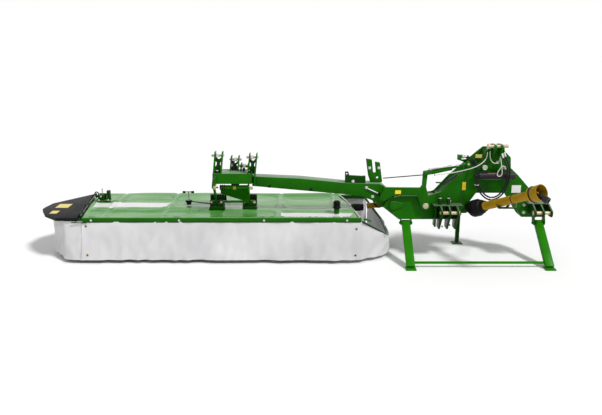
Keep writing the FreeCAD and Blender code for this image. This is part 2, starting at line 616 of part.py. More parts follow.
def make_accumulator():
    """The gas accumulator clamped to the mast, and the round gauge above it."""
    row, height = "mast_front - tank_radius - 10", "beam_top + 226"
    tank = rod("accumulator_tank", "X", ("hitch_centre - 171", row, height), "tank_long",
               "tank_radius")
    cap = rod("accumulator_cap", "X", ("hitch_centre - 208", row, height), "40", "24")
    clamps = []
    for number, shift in enumerate((-130, 50), start=1):
        clamps.append(block(f"accumulator_clamp_{number}", f"hitch_centre + {shift}",
                            f"hitch_centre + {shift} + 30", "mast_front - 30", "mast_front",
                            f"{height} - 28", f"{height} + 28"))
    node("accumulator", fuse("accumulator_whole", [tank, cap, *clamps]))
    gauge = ("hitch_centre - 114", "beam_top + 314")
    dial = rod("gauge_dial", "Y", (gauge[0], "mast_front - 70", gauge[1]), "26",
               "gauge_radius")
    stem = rod("gauge_stem", "Y", (gauge[0], "mast_front - 46", gauge[1]), "46", "12")
    node("pressure_gauge", fuse("gauge", [dial, stem]))


def make_stand():
    """The two-legged parking stand and the pins that it swings on."""
    run = "(stand_foot_row - stand_row)"
    drop = "(stand_height - foot_plate)"
    length = f"sqrt({run}^2 + {drop}^2)"
    step = [f"({run} / {length})", f"(-{drop} / {length})"]
    across = [f"({drop} / {length})", f"({run} / {length})"]

    def along(distance, aside):
        return (f"stand_row + {step[0]} * ({distance}) + {across[0]} * ({aside})",
                f"stand_height + {step[1]} * ({distance}) + {across[1]} * ({aside})")

    pieces = []
    for side, middle in (("left", "leg_left"), ("right", "leg_right")):
        corners = [along("-leg_head", "-leg_deep / 2"),
                   along(f"{length} - 20", "-leg_deep / 2"),
                   along(f"{length} - 20", "leg_deep / 2"),
                   along("-leg_head", "leg_deep / 2")]
        pieces.append(plate(f"stand_leg_{side}", "YZ", corners,
                            f"{middle} - leg_wide / 2", f"{middle} + leg_wide / 2"))
        pieces.append(block(f"stand_foot_{side}", f"{middle} - leg_wide / 2 - 8",
                            f"{middle} + leg_wide / 2 + 8", "stand_foot_row - 40",
                            "stand_foot_row + 62", "0", "foot_plate + 6"))
        pieces.append(rod(f"stand_pin_{side}", "X",
                          (f"{middle} - leg_wide / 2 - 28", "stand_row", "stand_height"),
                          "leg_wide + 56", "stand_pin"))
    ratio = "(cross_height / stand_height)"
    row = f"stand_foot_row - {run} * {ratio}"
    pieces.append(rod("stand_cross_tube", "X", ("leg_left", row, "cross_height"),
                      "leg_right - leg_left", "cross_tube"))
    node("parking_stand", fuse("stand", pieces))


def make_rear_leg():
    """The rear prop, which slides up in a square sleeve on the gearbox."""
    half = "prop_side / 2"
    bar = block("prop_bar", f"prop_across - {half}", f"prop_across + {half}",
                f"prop_row - {half}", f"prop_row + {half}", "6", "prop_top")
    foot = block("prop_foot", "prop_across - 55", "prop_across + 55", "prop_row - 55",
                 "prop_row + 55", "0", "10")
    node("rear_leg", fuse("prop", [bar, foot]))
    outer = block("sleeve_outer", "prop_across - sleeve_side / 2",
                  "prop_across + sleeve_side / 2", "prop_row - sleeve_side / 2",
                  "prop_row + sleeve_side / 2", "sleeve_base", "prop_top - 30")
    gap = f"({half} + 0.7)"
    bore = block("sleeve_bore", f"prop_across - {gap}", f"prop_across + {gap}",
                 f"prop_row - {gap}", f"prop_row + {gap}", "sleeve_base - 20", "prop_top")
    arm = block("sleeve_arm", "prop_across - 20", "prop_across + 20",
                "gearbox_rear", "prop_row - sleeve_side / 2 + 2", "gearbox_base + 20",
                "gearbox_base + 120")
    sleeve = cut("sleeve_tube", outer, [bore])
    node("rear_leg_sleeve", fuse("sleeve", [sleeve, arm]))


def make_boom():
    """The tapered boom, whose goose neck reaches down to the main pivot."""
    eye = "pivot_eye"
    corners = [("boom_left", "boom_left_top"), ("boom_near", "boom_near_top"),
               ("boom_mid", "boom_mid_top"), ("boom_right", "boom_right_top"),
               ("boom_right + 38", "boom_right_top - 22"),
               (f"pivot_across + {eye} * 0.4", f"pivot_height + {eye}"),
               (f"pivot_across + {eye}", f"pivot_height + {eye} * 0.4"),
               (f"pivot_across + {eye}", f"pivot_height - {eye} * 0.4"),
               (f"pivot_across + {eye} * 0.4", f"pivot_height - {eye}"),
               (f"pivot_across - {eye} * 0.4", f"pivot_height - {eye}"),
               ("boom_right - 3", "boom_neck_base"), ("boom_right - 84", "boom_right_base"),
               ("boom_under", "boom_under_base"), ("boom_mid", "boom_mid_base"),
               ("boom_near", "boom_near_base"), ("boom_left", "boom_left_base")]
    rounds = [("pivot_eye * 0.5", [5, 6, 7, 8]), (60, [10, 11, 12])]
    hole = [("pivot_across", "pivot_height", "pivot_pin + fit_gap")]
    body = plate("boom_box", "XZ", corners, "boom_front", "boom_front + boom_wide", hole,
                 rounds)
    node("boom", body)
    pin = rod("pivot_shaft", "Y", ("pivot_across", "cheek_front - 18", "pivot_height"),
              f"{CHEEK_REAR} + cheek_thick + 12 - cheek_front + 18", "pivot_pin")
    tail = [("pivot_across - 40", "pivot_height - 35"), ("pivot_across + 35", "pivot_height - 38"),
            ("pivot_across + 105", "pivot_height - 14"),
            ("pivot_across + 105", "pivot_height + 14"),
            ("pivot_across + 35", "pivot_height + 38"),
            ("pivot_across - 40", "pivot_height + 35")]
    keeper = plate("pivot_keeper", "XZ", tail, "cheek_front - 12", "cheek_front", (),
                   [(16, [0, 5]), (12, [2, 3])])
    cap = rod("pivot_cap", "Y", ("pivot_across", "cheek_front - 26", "pivot_height"),
              "16", "pivot_pin + 14")
    node("boom_pivot_pin", fuse("boom_pivot", [pin, keeper, cap]))


def boom_top(back):
    """The height of the boom's top a distance back from the end of its straight."""
    slope = "((boom_mid_top - boom_right_top) / (boom_right - boom_mid))"
    return f"boom_right_top + {slope} * ({back})"


def make_boom_fittings():
    """The fork that locks the folded boom and the latch arm beside it."""
    fork = [("boom_right - 93", boom_top(93)), ("boom_right - 118", "boom_right_top + 76"),
            ("boom_right - 145", "boom_right_top + 252"),
            ("boom_right - 83", "boom_right_top + 243"),
            ("boom_right - 66", "boom_right_top + 104"),
            ("boom_right - 37", "boom_right_top + 104"),
            ("boom_right - 51", "boom_right_top + 220"),
            ("boom_right + 1", "boom_right_top + 212"),
            ("boom_right + 32", "boom_right_top + 4"), ("boom_right - 2", boom_top(2))]
    node("transport_fork", plate("fork_plate", "XZ", fork, "fork_front",
                                 "fork_front + 30",
                                 [("boom_right - 22", "boom_right_top + 52", "12")],
                                 [(8, [2, 3, 6, 7]), (10, [4, 5])]))
    arm = [("boom_right - 362", boom_top(362)), ("boom_right - 363", "boom_right_top + 126"),
           ("boom_right - 327", "boom_right_top + 126"),
           ("boom_right - 320", "boom_right_top + 88"),
           ("boom_right - 186", "boom_right_top + 80"),
           ("boom_right - 150", "boom_right_top + 84"),
           ("boom_right - 148", boom_top(148))]
    node("latch_arm", plate("latch_plate", "XZ", arm, "boom_front + 14", "boom_front + 44",
                            [("boom_right - 345", "boom_right_top + 104", "9")],
                            [(8, [1, 2, 4, 5])]))


def make_lift_lever():
    """The curved lift lever on the beam and the pin that it turns on."""
    near = "lever_plane - lever_thick / 2"
    far = "lever_plane + lever_thick / 2"
    corners = [("lever_across + 45", "lever_height - 20"),
               ("lever_across + 28", "lever_height + 90"),
               ("lever_across - 4", "lever_height + 200"),
               ("lug_across + 24", "lug_height + 26"), ("lug_across - 24", "lug_height + 26"),
               ("lug_across - 30", "lever_height + 215"),
               ("lug_across - 48", "lever_height + 192"),
               ("lever_across - 425", "lever_height + 196"),
               ("lever_across - 462", "lever_height + 130"),
               ("lever_across - 486", "lever_height + 66"),
               ("lever_across - 430", "lever_height + 48"),
               ("lever_across - 330", "lever_height + 118"),
               ("lever_across - 90", "lever_height + 110"),
               ("lever_across - 45", "lever_height - 20"),
               ("lever_across - 20", "lever_height - 45"),
               ("lever_across + 20", "lever_height - 45")]
    holes = [("lever_across", "lever_height", "lever_pin + fit_gap"),
             ("lug_across", "lug_height", "lug_hole")]
    lever = plate("lever_plate", "XZ", corners, near, far, holes,
                  [(24, [9, 14, 15]), (20, [3, 4]), (16, [6])])
    node("lift_lever", lever)
    pin = rod("lever_pin_shaft", "Y", ("lever_across", f"{near} - 14", "lever_height"),
              "cheek_front - lever_plane + lever_thick / 2 + 14", "lever_pin")
    cap = rod("lever_pin_cap", "Y", ("lever_across", f"{near} - 14", "lever_height"), "10",
              "lever_pin + 9")
    boss = rod("lever_pin_boss", "Y", ("lever_across", f"{far} + 6", "lever_height"),
               f"cheek_front - ({far}) - 6", "lever_pin + 14")
    node("lever_pin", fuse("lever_pin_whole", [pin, cap, boss]))


def make_cylinder():
    """The lift cylinder: its barrel at the lever, its rod and the anchor on the mast."""
    reach = "sqrt((lug_across - anchor_across)^2 + (lug_height - anchor_height)^2)"
    towards = (value("anchor_across - lug_across"), 0, value("anchor_height - lug_height"))
    lug = ("lug_across", "lever_plane", "lug_height")
    bore = "(rod_radius + 6)"
    tight = "(rod_radius + 0.6)"
    barrel = turned("barrel_tube", [("barrel_start", "0"), ("barrel_start", "barrel_radius"),
                                    ("barrel_end", "barrel_radius"), ("barrel_end", tight),
                                    ("barrel_end - 20", tight), ("barrel_end - 20", bore),
                                    ("barrel_start + 14", bore), ("barrel_start + 14", "0")],
                    lug, towards)
    sides = []
    for side, shift in (("front", "-lever_thick / 2 - fork_gap - fork_sheet"),
                        ("rear", "lever_thick / 2 + fork_gap")):
        sides.append(rod(f"barrel_eye_{side}", "Y",
                         ("lug_across", f"lever_plane + {shift}", "lug_height"),
                         "fork_sheet", "22"))
        sides.append(plate(f"barrel_arm_{side}", "XZ",
                           [("lug_across", "lug_height - 16"),
                            ("lug_across + 66", "lug_height - 4"),
                            ("lug_across + 66", "lug_height + 34"),
                            ("lug_across", "lug_height + 20")],
                           f"lever_plane + {shift}", f"lever_plane + {shift} + fork_sheet"))
    bridge = block("barrel_bridge", "lug_across + 46", "lug_across + 66",
                   "lever_plane - lever_thick / 2 - fork_gap - fork_sheet",
                   "lever_plane + lever_thick / 2 + fork_gap + fork_sheet",
                   "lug_height - 4", "lug_height + 34")
    pin = rod("barrel_pin", "Y", ("lug_across", "lever_plane - lever_thick / 2 - fork_gap"
                                  " - fork_sheet - 6", "lug_height"), "8", "11")
    node("cylinder_barrel", fuse("barrel_whole", [barrel, bridge, pin, *sides]))
    shaft = turned("rod_shaft", [("barrel_end - 30", "0"), ("barrel_end - 30", "rod_radius"),
                                 (f"{reach} - 20", "rod_radius"), (f"{reach} - 20", "0")],
                   lug, towards)
    eye = rod("rod_eye", "Y", ("anchor_across", "lever_plane - 15", "anchor_height"),
              "30", "26")
    hole = rod("rod_eye_bore", "Y", ("anchor_across", "lever_plane - 30", "anchor_height"),
               "60", "anchor_pin + fit_gap")
    node("cylinder_rod", cut("rod_whole", fuse("rod_joined", [shaft, eye]), [hole]))
    stub = rod("anchor_stub", "Y", ("anchor_across", "lever_plane - 24", "anchor_height"),
               "mast_front - lever_plane + 24", "anchor_pin")
    washer = rod("anchor_washer", "Y", ("anchor_across", "lever_plane + 15 + fork_gap",
                                        "anchor_height"),
                 "mast_front - lever_plane - 15 - fork_gap", "anchor_pin + 5")
    node("cylinder_anchor", fuse("anchor", [stub, washer]))


def make_drive_shaft():
    """The telescoping shaft that runs behind the boom to the bed."""
    start = ("drive_end", "drive_row", "drive_end_height")
    run = "(drive_end - input_right - boot_length - boot_gap)"
    drop = f"((drive_end_height - input_height) * {run} / (drive_end - input_right))"
    towards = (value(f"-{run}"), 0, value(f"-{drop}"))
    long = f"sqrt({run}^2 + {drop}^2)"
    bore = "inner_shaft_radius + 0.6"
    tube = turned("drive_outer_tube", [("30", "0"), ("30", "shaft_radius"),
                                       ("outer_shaft_long", "shaft_radius"),
                                       ("outer_shaft_long", bore), ("60", bore),
                                       ("60", "0")], start, towards)
    arms = []
    for side, shift in (("front", -32), ("rear", 22)):
        eye = [("drive_end - 44", "drive_end_height - 18"),
               ("drive_end + 16", "drive_end_height - 18"),
               ("drive_end + 16", "drive_end_height + 18"),
               ("drive_end - 44", "drive_end_height + 18")]
        arms.append(plate(f"drive_eye_{side}", "XZ", eye, f"drive_row + {shift}",
                          f"drive_row + {shift} + 10",
                          [("drive_end", "drive_end_height", "cross_pin + fit_gap")],
                          [(14, [1, 2])]))
    node("drive_shaft_outer", fuse("drive_outer_whole", [tube, *arms]))
    inner = turned("drive_inner_tube", [("outer_shaft_long - 260", "0"),
                                        ("outer_shaft_long - 260", "inner_shaft_radius"),
                                        (long, "inner_shaft_radius"), (long, "0")],
                   start, towards)
    node("drive_shaft_inner", inner)
    boot = turned("boot_cone", [("0", "0"), ("0", "boot_big"), ("boot_length - 44", "boot_big"),
                                ("boot_length - 34", "boot_small"),
                                ("boot_length", "boot_small"), ("boot_length", "0")],
                  ("input_right", "drive_row", "input_height"), (1, 0, 0))
    node("drive_boot", boot)


def leaned(across, up):
    """A corner of a ladder, which leans with the head."""
    return f"({across}) + ladder_lean * (({up}) - tilt_height)", up


def ladder(name, sides, feet, top, front, webbed=True):
    """A pair of upright cheeks with a cross pin, and a notched web between them."""
    left, right = sides
    pieces = []
    for side, across, foot in (("left", left, feet[0]), ("right", right, feet[1])):
        corners = [leaned(across, foot), leaned(f"{across} + cheek_sheet", foot),
                   leaned(f"{across} + cheek_sheet", top), leaned(across, top)]
        pieces.append(plate(f"{name}_cheek_{side}", "XZ", corners, front,
                            f"{front} + ladder_deep"))
    pin = leaned(f"{left} - 10", f"{top} - 42")
    pieces.append(rod(f"{name}_pin", "X", (pin[0], f"{front} + ladder_deep / 2", pin[1]),
                      f"{right} - ({left}) + cheek_sheet + 20", "9"))
    if webbed:
        low, high = "head_top - 12", f"({top} - 56)"
        tall = f"({high} - ({low}))"
        inner, outer = f"({left} + cheek_sheet - 1)", f"({right} + 1)"
        middle = f"({left} + {right} + cheek_sheet) / 2"
        half = [(inner, low), (inner, f"{low} + {tall} * 0.40"),
                (f"{inner} + notch", f"{low} + {tall} * 0.50"),
                (f"{inner} + notch", f"{low} + {tall} * 0.64"),
                (inner, f"{low} + {tall} * 0.74"), (inner, high),
                (f"{middle} - 7", f"{high} - 28")]
        other = [(f"{middle} + 7", f"{high} - 28"), (outer, high),
                 (outer, f"{low} + {tall} * 0.74"),
                 (f"{outer} - notch", f"{low} + {tall} * 0.64"),
                 (f"{outer} - notch", f"{low} + {tall} * 0.50"),
                 (outer, f"{low} + {tall} * 0.40"), (outer, low)]
        corners = [leaned(*place) for place in half + other]
        pieces.append(plate(f"{name}_web", "XZ", corners, f"{front} + ladder_deep - 14",
                            f"{front} + ladder_deep - 4"))
    return pieces


def make_suspension():
    """The spring head on the boom's end, with its ladders, springs and tilt pin."""
    front, rear = "head_front", "head_rear"
    pieces = [block("head_box", "head_left", "boom_left", front, rear, "head_base",
                    "head_top")]
    pieces += ladder("ladder_left", ("head_left - 13", "head_left + 62"),
                     ("tilt_height", "head_top - 5"), "ladder_top", front)
    pieces += ladder("ladder_right", ("head_centre + 120", "head_centre + 192"),
                     ("head_top - 20", "head_top - 34"), "ladder_top - 18", front)
    drop = leaned("head_centre + 192", "head_top - 40")
    pieces.append(block("head_drop", drop[0], f"{drop[0]} + cheek_sheet", front, "-5",
                        "tilt_height + 22", "head_top - 24"))
    inner = f"{rear} - ladder_deep - 30"
    pieces += ladder("ladder_mid", ("head_centre - 76", "head_centre + 2"),
                     ("head_top - 20", "head_top - 20"), "ladder_top - 68", inner)
    pieces += ladder("ladder_short", ("head_centre + 34", "head_centre + 108"),
                     ("head_top - 20", "head_top - 20"), "ladder_top - 145", inner, False)
    hanger = [("head_centre - 46", "head_base + 12"), ("head_centre + 46", "head_base + 2"),
              ("head_centre + tilt_radius", "tilt_height - tilt_pin - 9"),
              ("head_centre - tilt_radius", "tilt_height - tilt_pin - 9")]
    hole = [("head_centre", "tilt_height", "tilt_pin + fit_gap")]
    for side, shift in (("near", "boss_rear + fit_gap"), ("far", "boss_rear + 82")):
        pieces.append(plate(f"head_hanger_{side}", "XZ", hanger, shift, f"{shift} + 16", hole,
                            [(12, [2, 3])]))
    node("suspension_head", fuse("head", pieces))
    stops = []
    for side, middle in (("left", "head_left + 48"), ("right", "head_centre + 178")):
        shape = turned(f"stop_{side}", [("0", "0"), ("0", "24"), ("10", "24"), ("22", "17"),
                                        ("28", "7"), ("28", "0")],
                       (middle, f"{front} + 30", "head_top"),
                       (0, 0, 1))
        stops.append(shape)
    node("rubber_stops", compound("stops", stops))
    springs = []
    for number, (across, high) in enumerate((("head_centre - 20", "ladder_top - 124"),
                                             ("head_centre + 88", "ladder_top - 200")), start=1):
        springs.append(rod(f"spring_{number}", "Z", (across, f"{rear} - 70", "head_top"),
                           f"{high} - head_top", "14"))
    node("spring_units", compound("springs", springs))
    pin = rod("tilt_pin_shaft", "Y", ("head_centre", "boss_front - 12", "tilt_height"),
              "boss_rear - boss_front + 120", "tilt_pin")
    node("tilt_pin", pin)


def compound(name, pieces):
    """Keep like pieces that don't touch as separate solids of one node."""
    group = DOC.addObject("Part::Compound", name)
    group.Links = pieces
    return group


def outer_side(inset):
    """The plan of the outer end, moved inwards from the face of the skirt."""
    return [("rail_left", f"bed_front + {inset}"),
            (f"corner_left + 0.4 * {inset}", f"bed_front + corner_step + {inset}"),
            (f"outer_end + {inset}", f"outer_side_front + 0.4 * {inset}"),
            (f"outer_end + {inset}", f"outer_side_rear - 0.3 * {inset}"),
            (f"outer_rear_across + {inset}", f"outer_rear_row - 0.2 * {inset}"),
            (f"rear_left + {inset}", f"bed_rear - {inset}")]


def inner_side(inset):
    """The plan of the inner end, moved inwards from the face of the skirt."""
    return [("rail_right", f"bed_front + {inset}"),
            (f"corner_right - 0.4 * {inset}", f"bed_front + inner_corner_step + {inset}"),
            (f"inner_end - {inset}", f"inner_side_front + 0.4 * {inset}"),
            (f"inner_end - {inset}", f"inner_side_rear - 0.2 * {inset}"),
            (f"rear_right - {inset}", f"bed_rear - {inset}")]


def hinge_across(row):
    """Where the hinge line of the outer shield lies across the machine at a row."""
    slope = "((cover_left_rear - cover_left_front) / (bed_rear - bed_front))"
    return f"cover_left_front - 16 + {slope} * (({row}) - bed_front)"


def make_swing_arm():
    """The arm between head and bed: cross tube, slanted web, side plate, stem and boss."""
    tube = rod("arm_tube", "X", ("arm_left", "arm_row", "tilt_height"),
               "arm_right - arm_left", "arm_tube_radius")
    slab = plate("arm_slab", "YZ", [("arm_row - 7", "tilt_height - 8"),
                                    ("arm_row + 9", "tilt_height - 8"),
                                    ("slab_row + 9", "arm_low"), ("slab_row - 7", "arm_low")],
                 "arm_left + 6", "arm_right")
    below = plate("arm_slab_cut", "XZ", [("arm_left - 20", "tilt_height - 60"),
                                         ("arm_right + 20", "arm_low - 5"),
                                         ("arm_right + 20", "arm_low - 60"),
                                         ("arm_left - 20", "arm_low - 60")],
                  "arm_row - 30", "foot_row + 30")
    web = cut("arm_web", slab, [below])
    side = plate("arm_side", "YZ", [("arm_row - 28", "tilt_height + 34"),
                                    ("arm_row + 28", "tilt_height + 34"),
                                    ("foot_row + 24", "clamp_height + 20"),
                                    ("foot_row + 24", "clamp_height - 22"),
                                    ("foot_row - 24", "clamp_height - 22"),
                                    ("foot_row - 24", "clamp_height + 20"),
                                    ("arm_row - 28", "tilt_height - 40")],
                 "arm_right - 8", "arm_right + 8",
                 [("foot_row", "clamp_height", "clamp_pin + fit_gap")],
                 [(12, [0, 1, 3, 4])])
    boss = rod("arm_boss", "Y", ("head_centre", "boss_front", "tilt_height"),
               "boss_rear - boss_front", "tilt_radius")
    bar = block("arm_cross_bar", "left_foot + clamp_half + fit_gap", "arm_right",
                "slab_row - 12", "slab_row + 12", "arm_low", "arm_low + 22")
    hole = rod("arm_boss_bore", "Y", ("head_centre", "boss_front - 10", "tilt_height"),
               "boss_rear - boss_front + 20", "tilt_pin + fit_gap")
    solid = fuse("arm_joined", [tube, web, side, boss, bar])
    node("swing_arm", cut("arm_whole", solid, [hole]))


def make_side_link():
    """The side link in front of the head, from its upper eye down to the left foot."""
    near, far = "left_foot - 10", "left_foot + 10"
    bar = plate("link_bar", "YZ", [("link_front", "tilt_height + 108"),
                                   ("link_front + 22", "tilt_height + 108"),
                                   ("link_front + 22", "tilt_height + 30"),
                                   ("foot_row + 22", "clamp_height + 16"),
                                   ("foot_row + 22", "clamp_height - 22"),
                                   ("foot_row - 22", "clamp_height - 22"),
                                   ("foot_row - 22", "clamp_height + 6"),
                                   ("link_front", "tilt_height - 4")],
                near, far, [("foot_row", "clamp_height", "clamp_pin + fit_gap")],
                [(10, [4, 5])])
    eye = rod("link_eye", "X", ("left_foot - 14", "link_front + 11", "tilt_height + 16"),
              "28", "22")
    pin = rod("link_eye_pin", "X", ("left_foot - 20", "link_front + 11",
                                    "tilt_height + 16"), "62", "9")
    node("side_link", fuse("side_link_whole", [bar, eye, pin]))


def make_bed_feet():
    """The two feet on the bed's beam, with the clamped pins that the arm and link hold."""
    pieces = []
    for side, centre in (("left", "left_foot"), ("right", "arm_right")):
        pieces.append(block(f"foot_base_{side}", f"{centre} - clamp_half - 4",
                            f"{centre} + clamp_half + 4", "foot_row - 30", "foot_row + 86",
                            "frame_top", "clamp_height - 28"))
        for number, (left, right) in enumerate((("-clamp_half", "-10.3"),
                                                ("10.3", "clamp_half")), start=1):
            pieces.append(rod(f"foot_clamp_{side}_{number}", "X",
                              (f"{centre} + {left}", "foot_row", "clamp_height"),
                              f"({right}) - ({left})", "clamp_radius"))
        pieces.append(rod(f"foot_pin_{side}", "X",
                          (f"{centre} - clamp_half + 4", "foot_row", "clamp_height"),
                          "clamp_half * 2 - 8", "clamp_pin"))
        pieces.append(block(f"foot_back_{side}", f"{centre} - clamp_half - 4",
                            f"{centre} + clamp_half + 4", "foot_row + 50",
                            "foot_row + 86", "clamp_height - 30", "clamp_height + 84"))
    node("bed_feet", fuse("feet", pieces))


def make_bed_frame():
    """The welded frame that hangs from the pivot and carries bar and covers."""
    low = "frame_top - tube_side"
    front = "bed_front + hinge_setback"
    rear = "bed_rear - 10 - tube_side"
    pieces = [block("bed_beam", "bed_beam_left", "bed_beam_right", "bed_beam_front",
                    "bed_beam_front + bed_beam_deep", "frame_top - bed_beam_tall",
                    "frame_top"),
              block("front_tube", "rail_left", "rail_right", front, f"{front} + tube_side",
                    low, "frame_top"),
              block("rear_tube", "rear_left + 30", "rear_right - 30", rear,
                    f"{rear} + tube_side", low, "frame_top")]
    count = 5
    for number in range(count):
        middle = f"(tube_first + tube_pitch * {number})"
        pieces.append(block(f"cross_tube_{number + 1}", f"{middle} - tube_side / 2",
                            f"{middle} + tube_side / 2", front, rear, low, "frame_top"))
        pieces.append(block(f"hanger_{number + 1}", f"{middle} - hanger_wide / 2",
                            f"{middle} + hanger_wide / 2", "hanger_row",
                            "hanger_row + hanger_thick", "bar_base + 20",
                            f"{low} + 5"))
        pieces.append(block(f"hanger_foot_{number + 1}", f"{middle} - hanger_wide / 2",
                            f"{middle} + hanger_wide / 2", "bar_rear",
                            "hanger_row + 2", "bar_base + 20", "bar_top - 16"))
    row, height = "bed_front + knuckle_back", "rail_base + knuckle_up"
    for number in range(4):
        middle = f"(knuckle_first + knuckle_pitch * {number})"
        pieces.append(rod(f"knuckle_{number + 1}", "X", (f"{middle} - 26", row, height), "52",
                          "knuckle_radius"))
        pieces.append(block(f"knuckle_web_{number + 1}", f"{middle} - 26", f"{middle} + 26",
                            row, front, f"{low} + 4", f"{height} - 1"))
    outer = [(*place, f"{low} + 14") for place in outer_side(20)]
    outer[0] = ("rail_left + 12", f"{front} + 20", f"{low} + 14")
    outer[-1] = ("rear_left + 40", f"{rear} + 20", f"{low} + 14")
    pieces.append(bent_bar("outer_end_bar", outer, "12"))
    fall = "(skirt_top - inner_skirt_low) / (inner_end - rail_right)"
    inner = []
    for across, row in inner_side(20.5):
        height = f"skirt_top - 14 - {fall} * ({across} - rail_right)"
        inner.append((across, row, height))
    inner[0] = ("rail_right - 12", f"{front} + 20", f"{low} + 14")
    end = ("rear_right - 40", f"{rear} + 20", f"{low} + 14")
    pieces.append(bent_bar("inner_end_bar", inner[:-1] + [end], "12"))
    node("bed_frame", fuse("bed_frame_whole", pieces))


def make_skirts():
    """The sheet skirts round both ends of the bed."""
    plan = outer_side(0) + outer_side("skirt_thick")[::-1]
    node("outer_end_skirt", plate("outer_skirt", "XY", plan, "skirt_bottom", "skirt_top"))
    plan = inner_side(0) + inner_side("skirt_thick")[::-1]
    band = plate("inner_skirt", "XY", plan, "skirt_bottom", "skirt_top")
    wedge = plate("inner_skirt_cut", "XZ",
                  [("rail_right", "skirt_top"), ("inner_end + 20", "inner_skirt_low - 15"),
                   ("inner_end + 20", "skirt_top + 20"), ("rail_right", "skirt_top + 20")],
                  "bed_front - 20", "bed_rear + 20")
    node("inner_end_skirt", cut("inner_skirt_whole", band, [wedge]))


def make_front_guard():
    """The hinged front rail and the curtain that hangs from it."""
    rail = plate("rail_bar", "YZ",
                 [("bed_front", "rail_base"), ("bed_front + rail_deep", "rail_base"),
                  ("bed_front + rail_deep", "rail_base + rail_tall"),
                  ("bed_front", "rail_base + rail_tall")],
                 "rail_left + 4", "rail_right - 4", (), [("rail_tall * 0.4", [2, 3])])
    pieces = [rail]
    row, height = "bed_front + knuckle_back", "rail_base + knuckle_up"
    for number in range(4):
        middle = f"(knuckle_first + knuckle_pitch * {number})"
        for side, shift in (("left", -40), ("right", 26.3)):
            start = f"{middle} + {shift}"
            pieces.append(rod(f"rail_eye_{number + 1}_{side}", "X", (start, row, height),
                              "13.7", "knuckle_radius"))
            pieces.append(block(f"rail_arm_{number + 1}_{side}", start, f"{start} + 13.7",
                                "bed_front + rail_deep - 2", row,
                                f"{height} - knuckle_radius", f"{height} + knuckle_radius"))
    node("front_rail", fuse("front_rail_whole", pieces))
    node("front_curtain", block("front_curtain_sheet", "rail_left + 8", "rail_right - 8",
                                "bed_front + 4", "bed_front + 12", "skirt_bottom",
                                "rail_base - fit_gap"))
    node("rear_curtain", block("rear_curtain_sheet", "rear_left + 10", "rear_right - 10",
                               "bed_rear - 10 + fit_gap", "bed_rear - 2", "skirt_bottom",
                               "frame_top - 4"))


def make_top_cover():
    """The fabric cover over the frame, with its cut-outs for the feet."""
    front = "bed_front + hinge_setback"
    plan = [("cover_left_front", front), ("cover_left_rear + 6", "bed_rear - 10"),
            ("cover_right_rear", "bed_rear - 10"), ("cover_right_mid", "cover_mid_row"),
            ("rail_right - 12", front)]
    sheet = plate("cover_sheet", "XY", plan, COVER_BASE, f"{COVER_BASE} + cover_thick", (),
                  [(40, [2])])
    gaps = []
    for side, centre in (("left", "left_foot"), ("right", "arm_right")):
        gaps.append(block(f"cover_opening_{side}", f"{centre} - clamp_half - 12",
                          f"{centre} + clamp_half + 12", "foot_row - 40", "foot_row + 96",
                          "frame_top - 5", "frame_top + 40"))
    node("top_cover", cut("cover_cut", sheet, gaps))


def shield_strut(name, start_row, end_row, radius):
    """A round bar along the hinge line of the outer shield between two rows."""
    high = "shield_base + shield_thick"
    return strut(name, (hinge_across(start_row), start_row, high),
                 (hinge_across(end_row), end_row, high), radius)


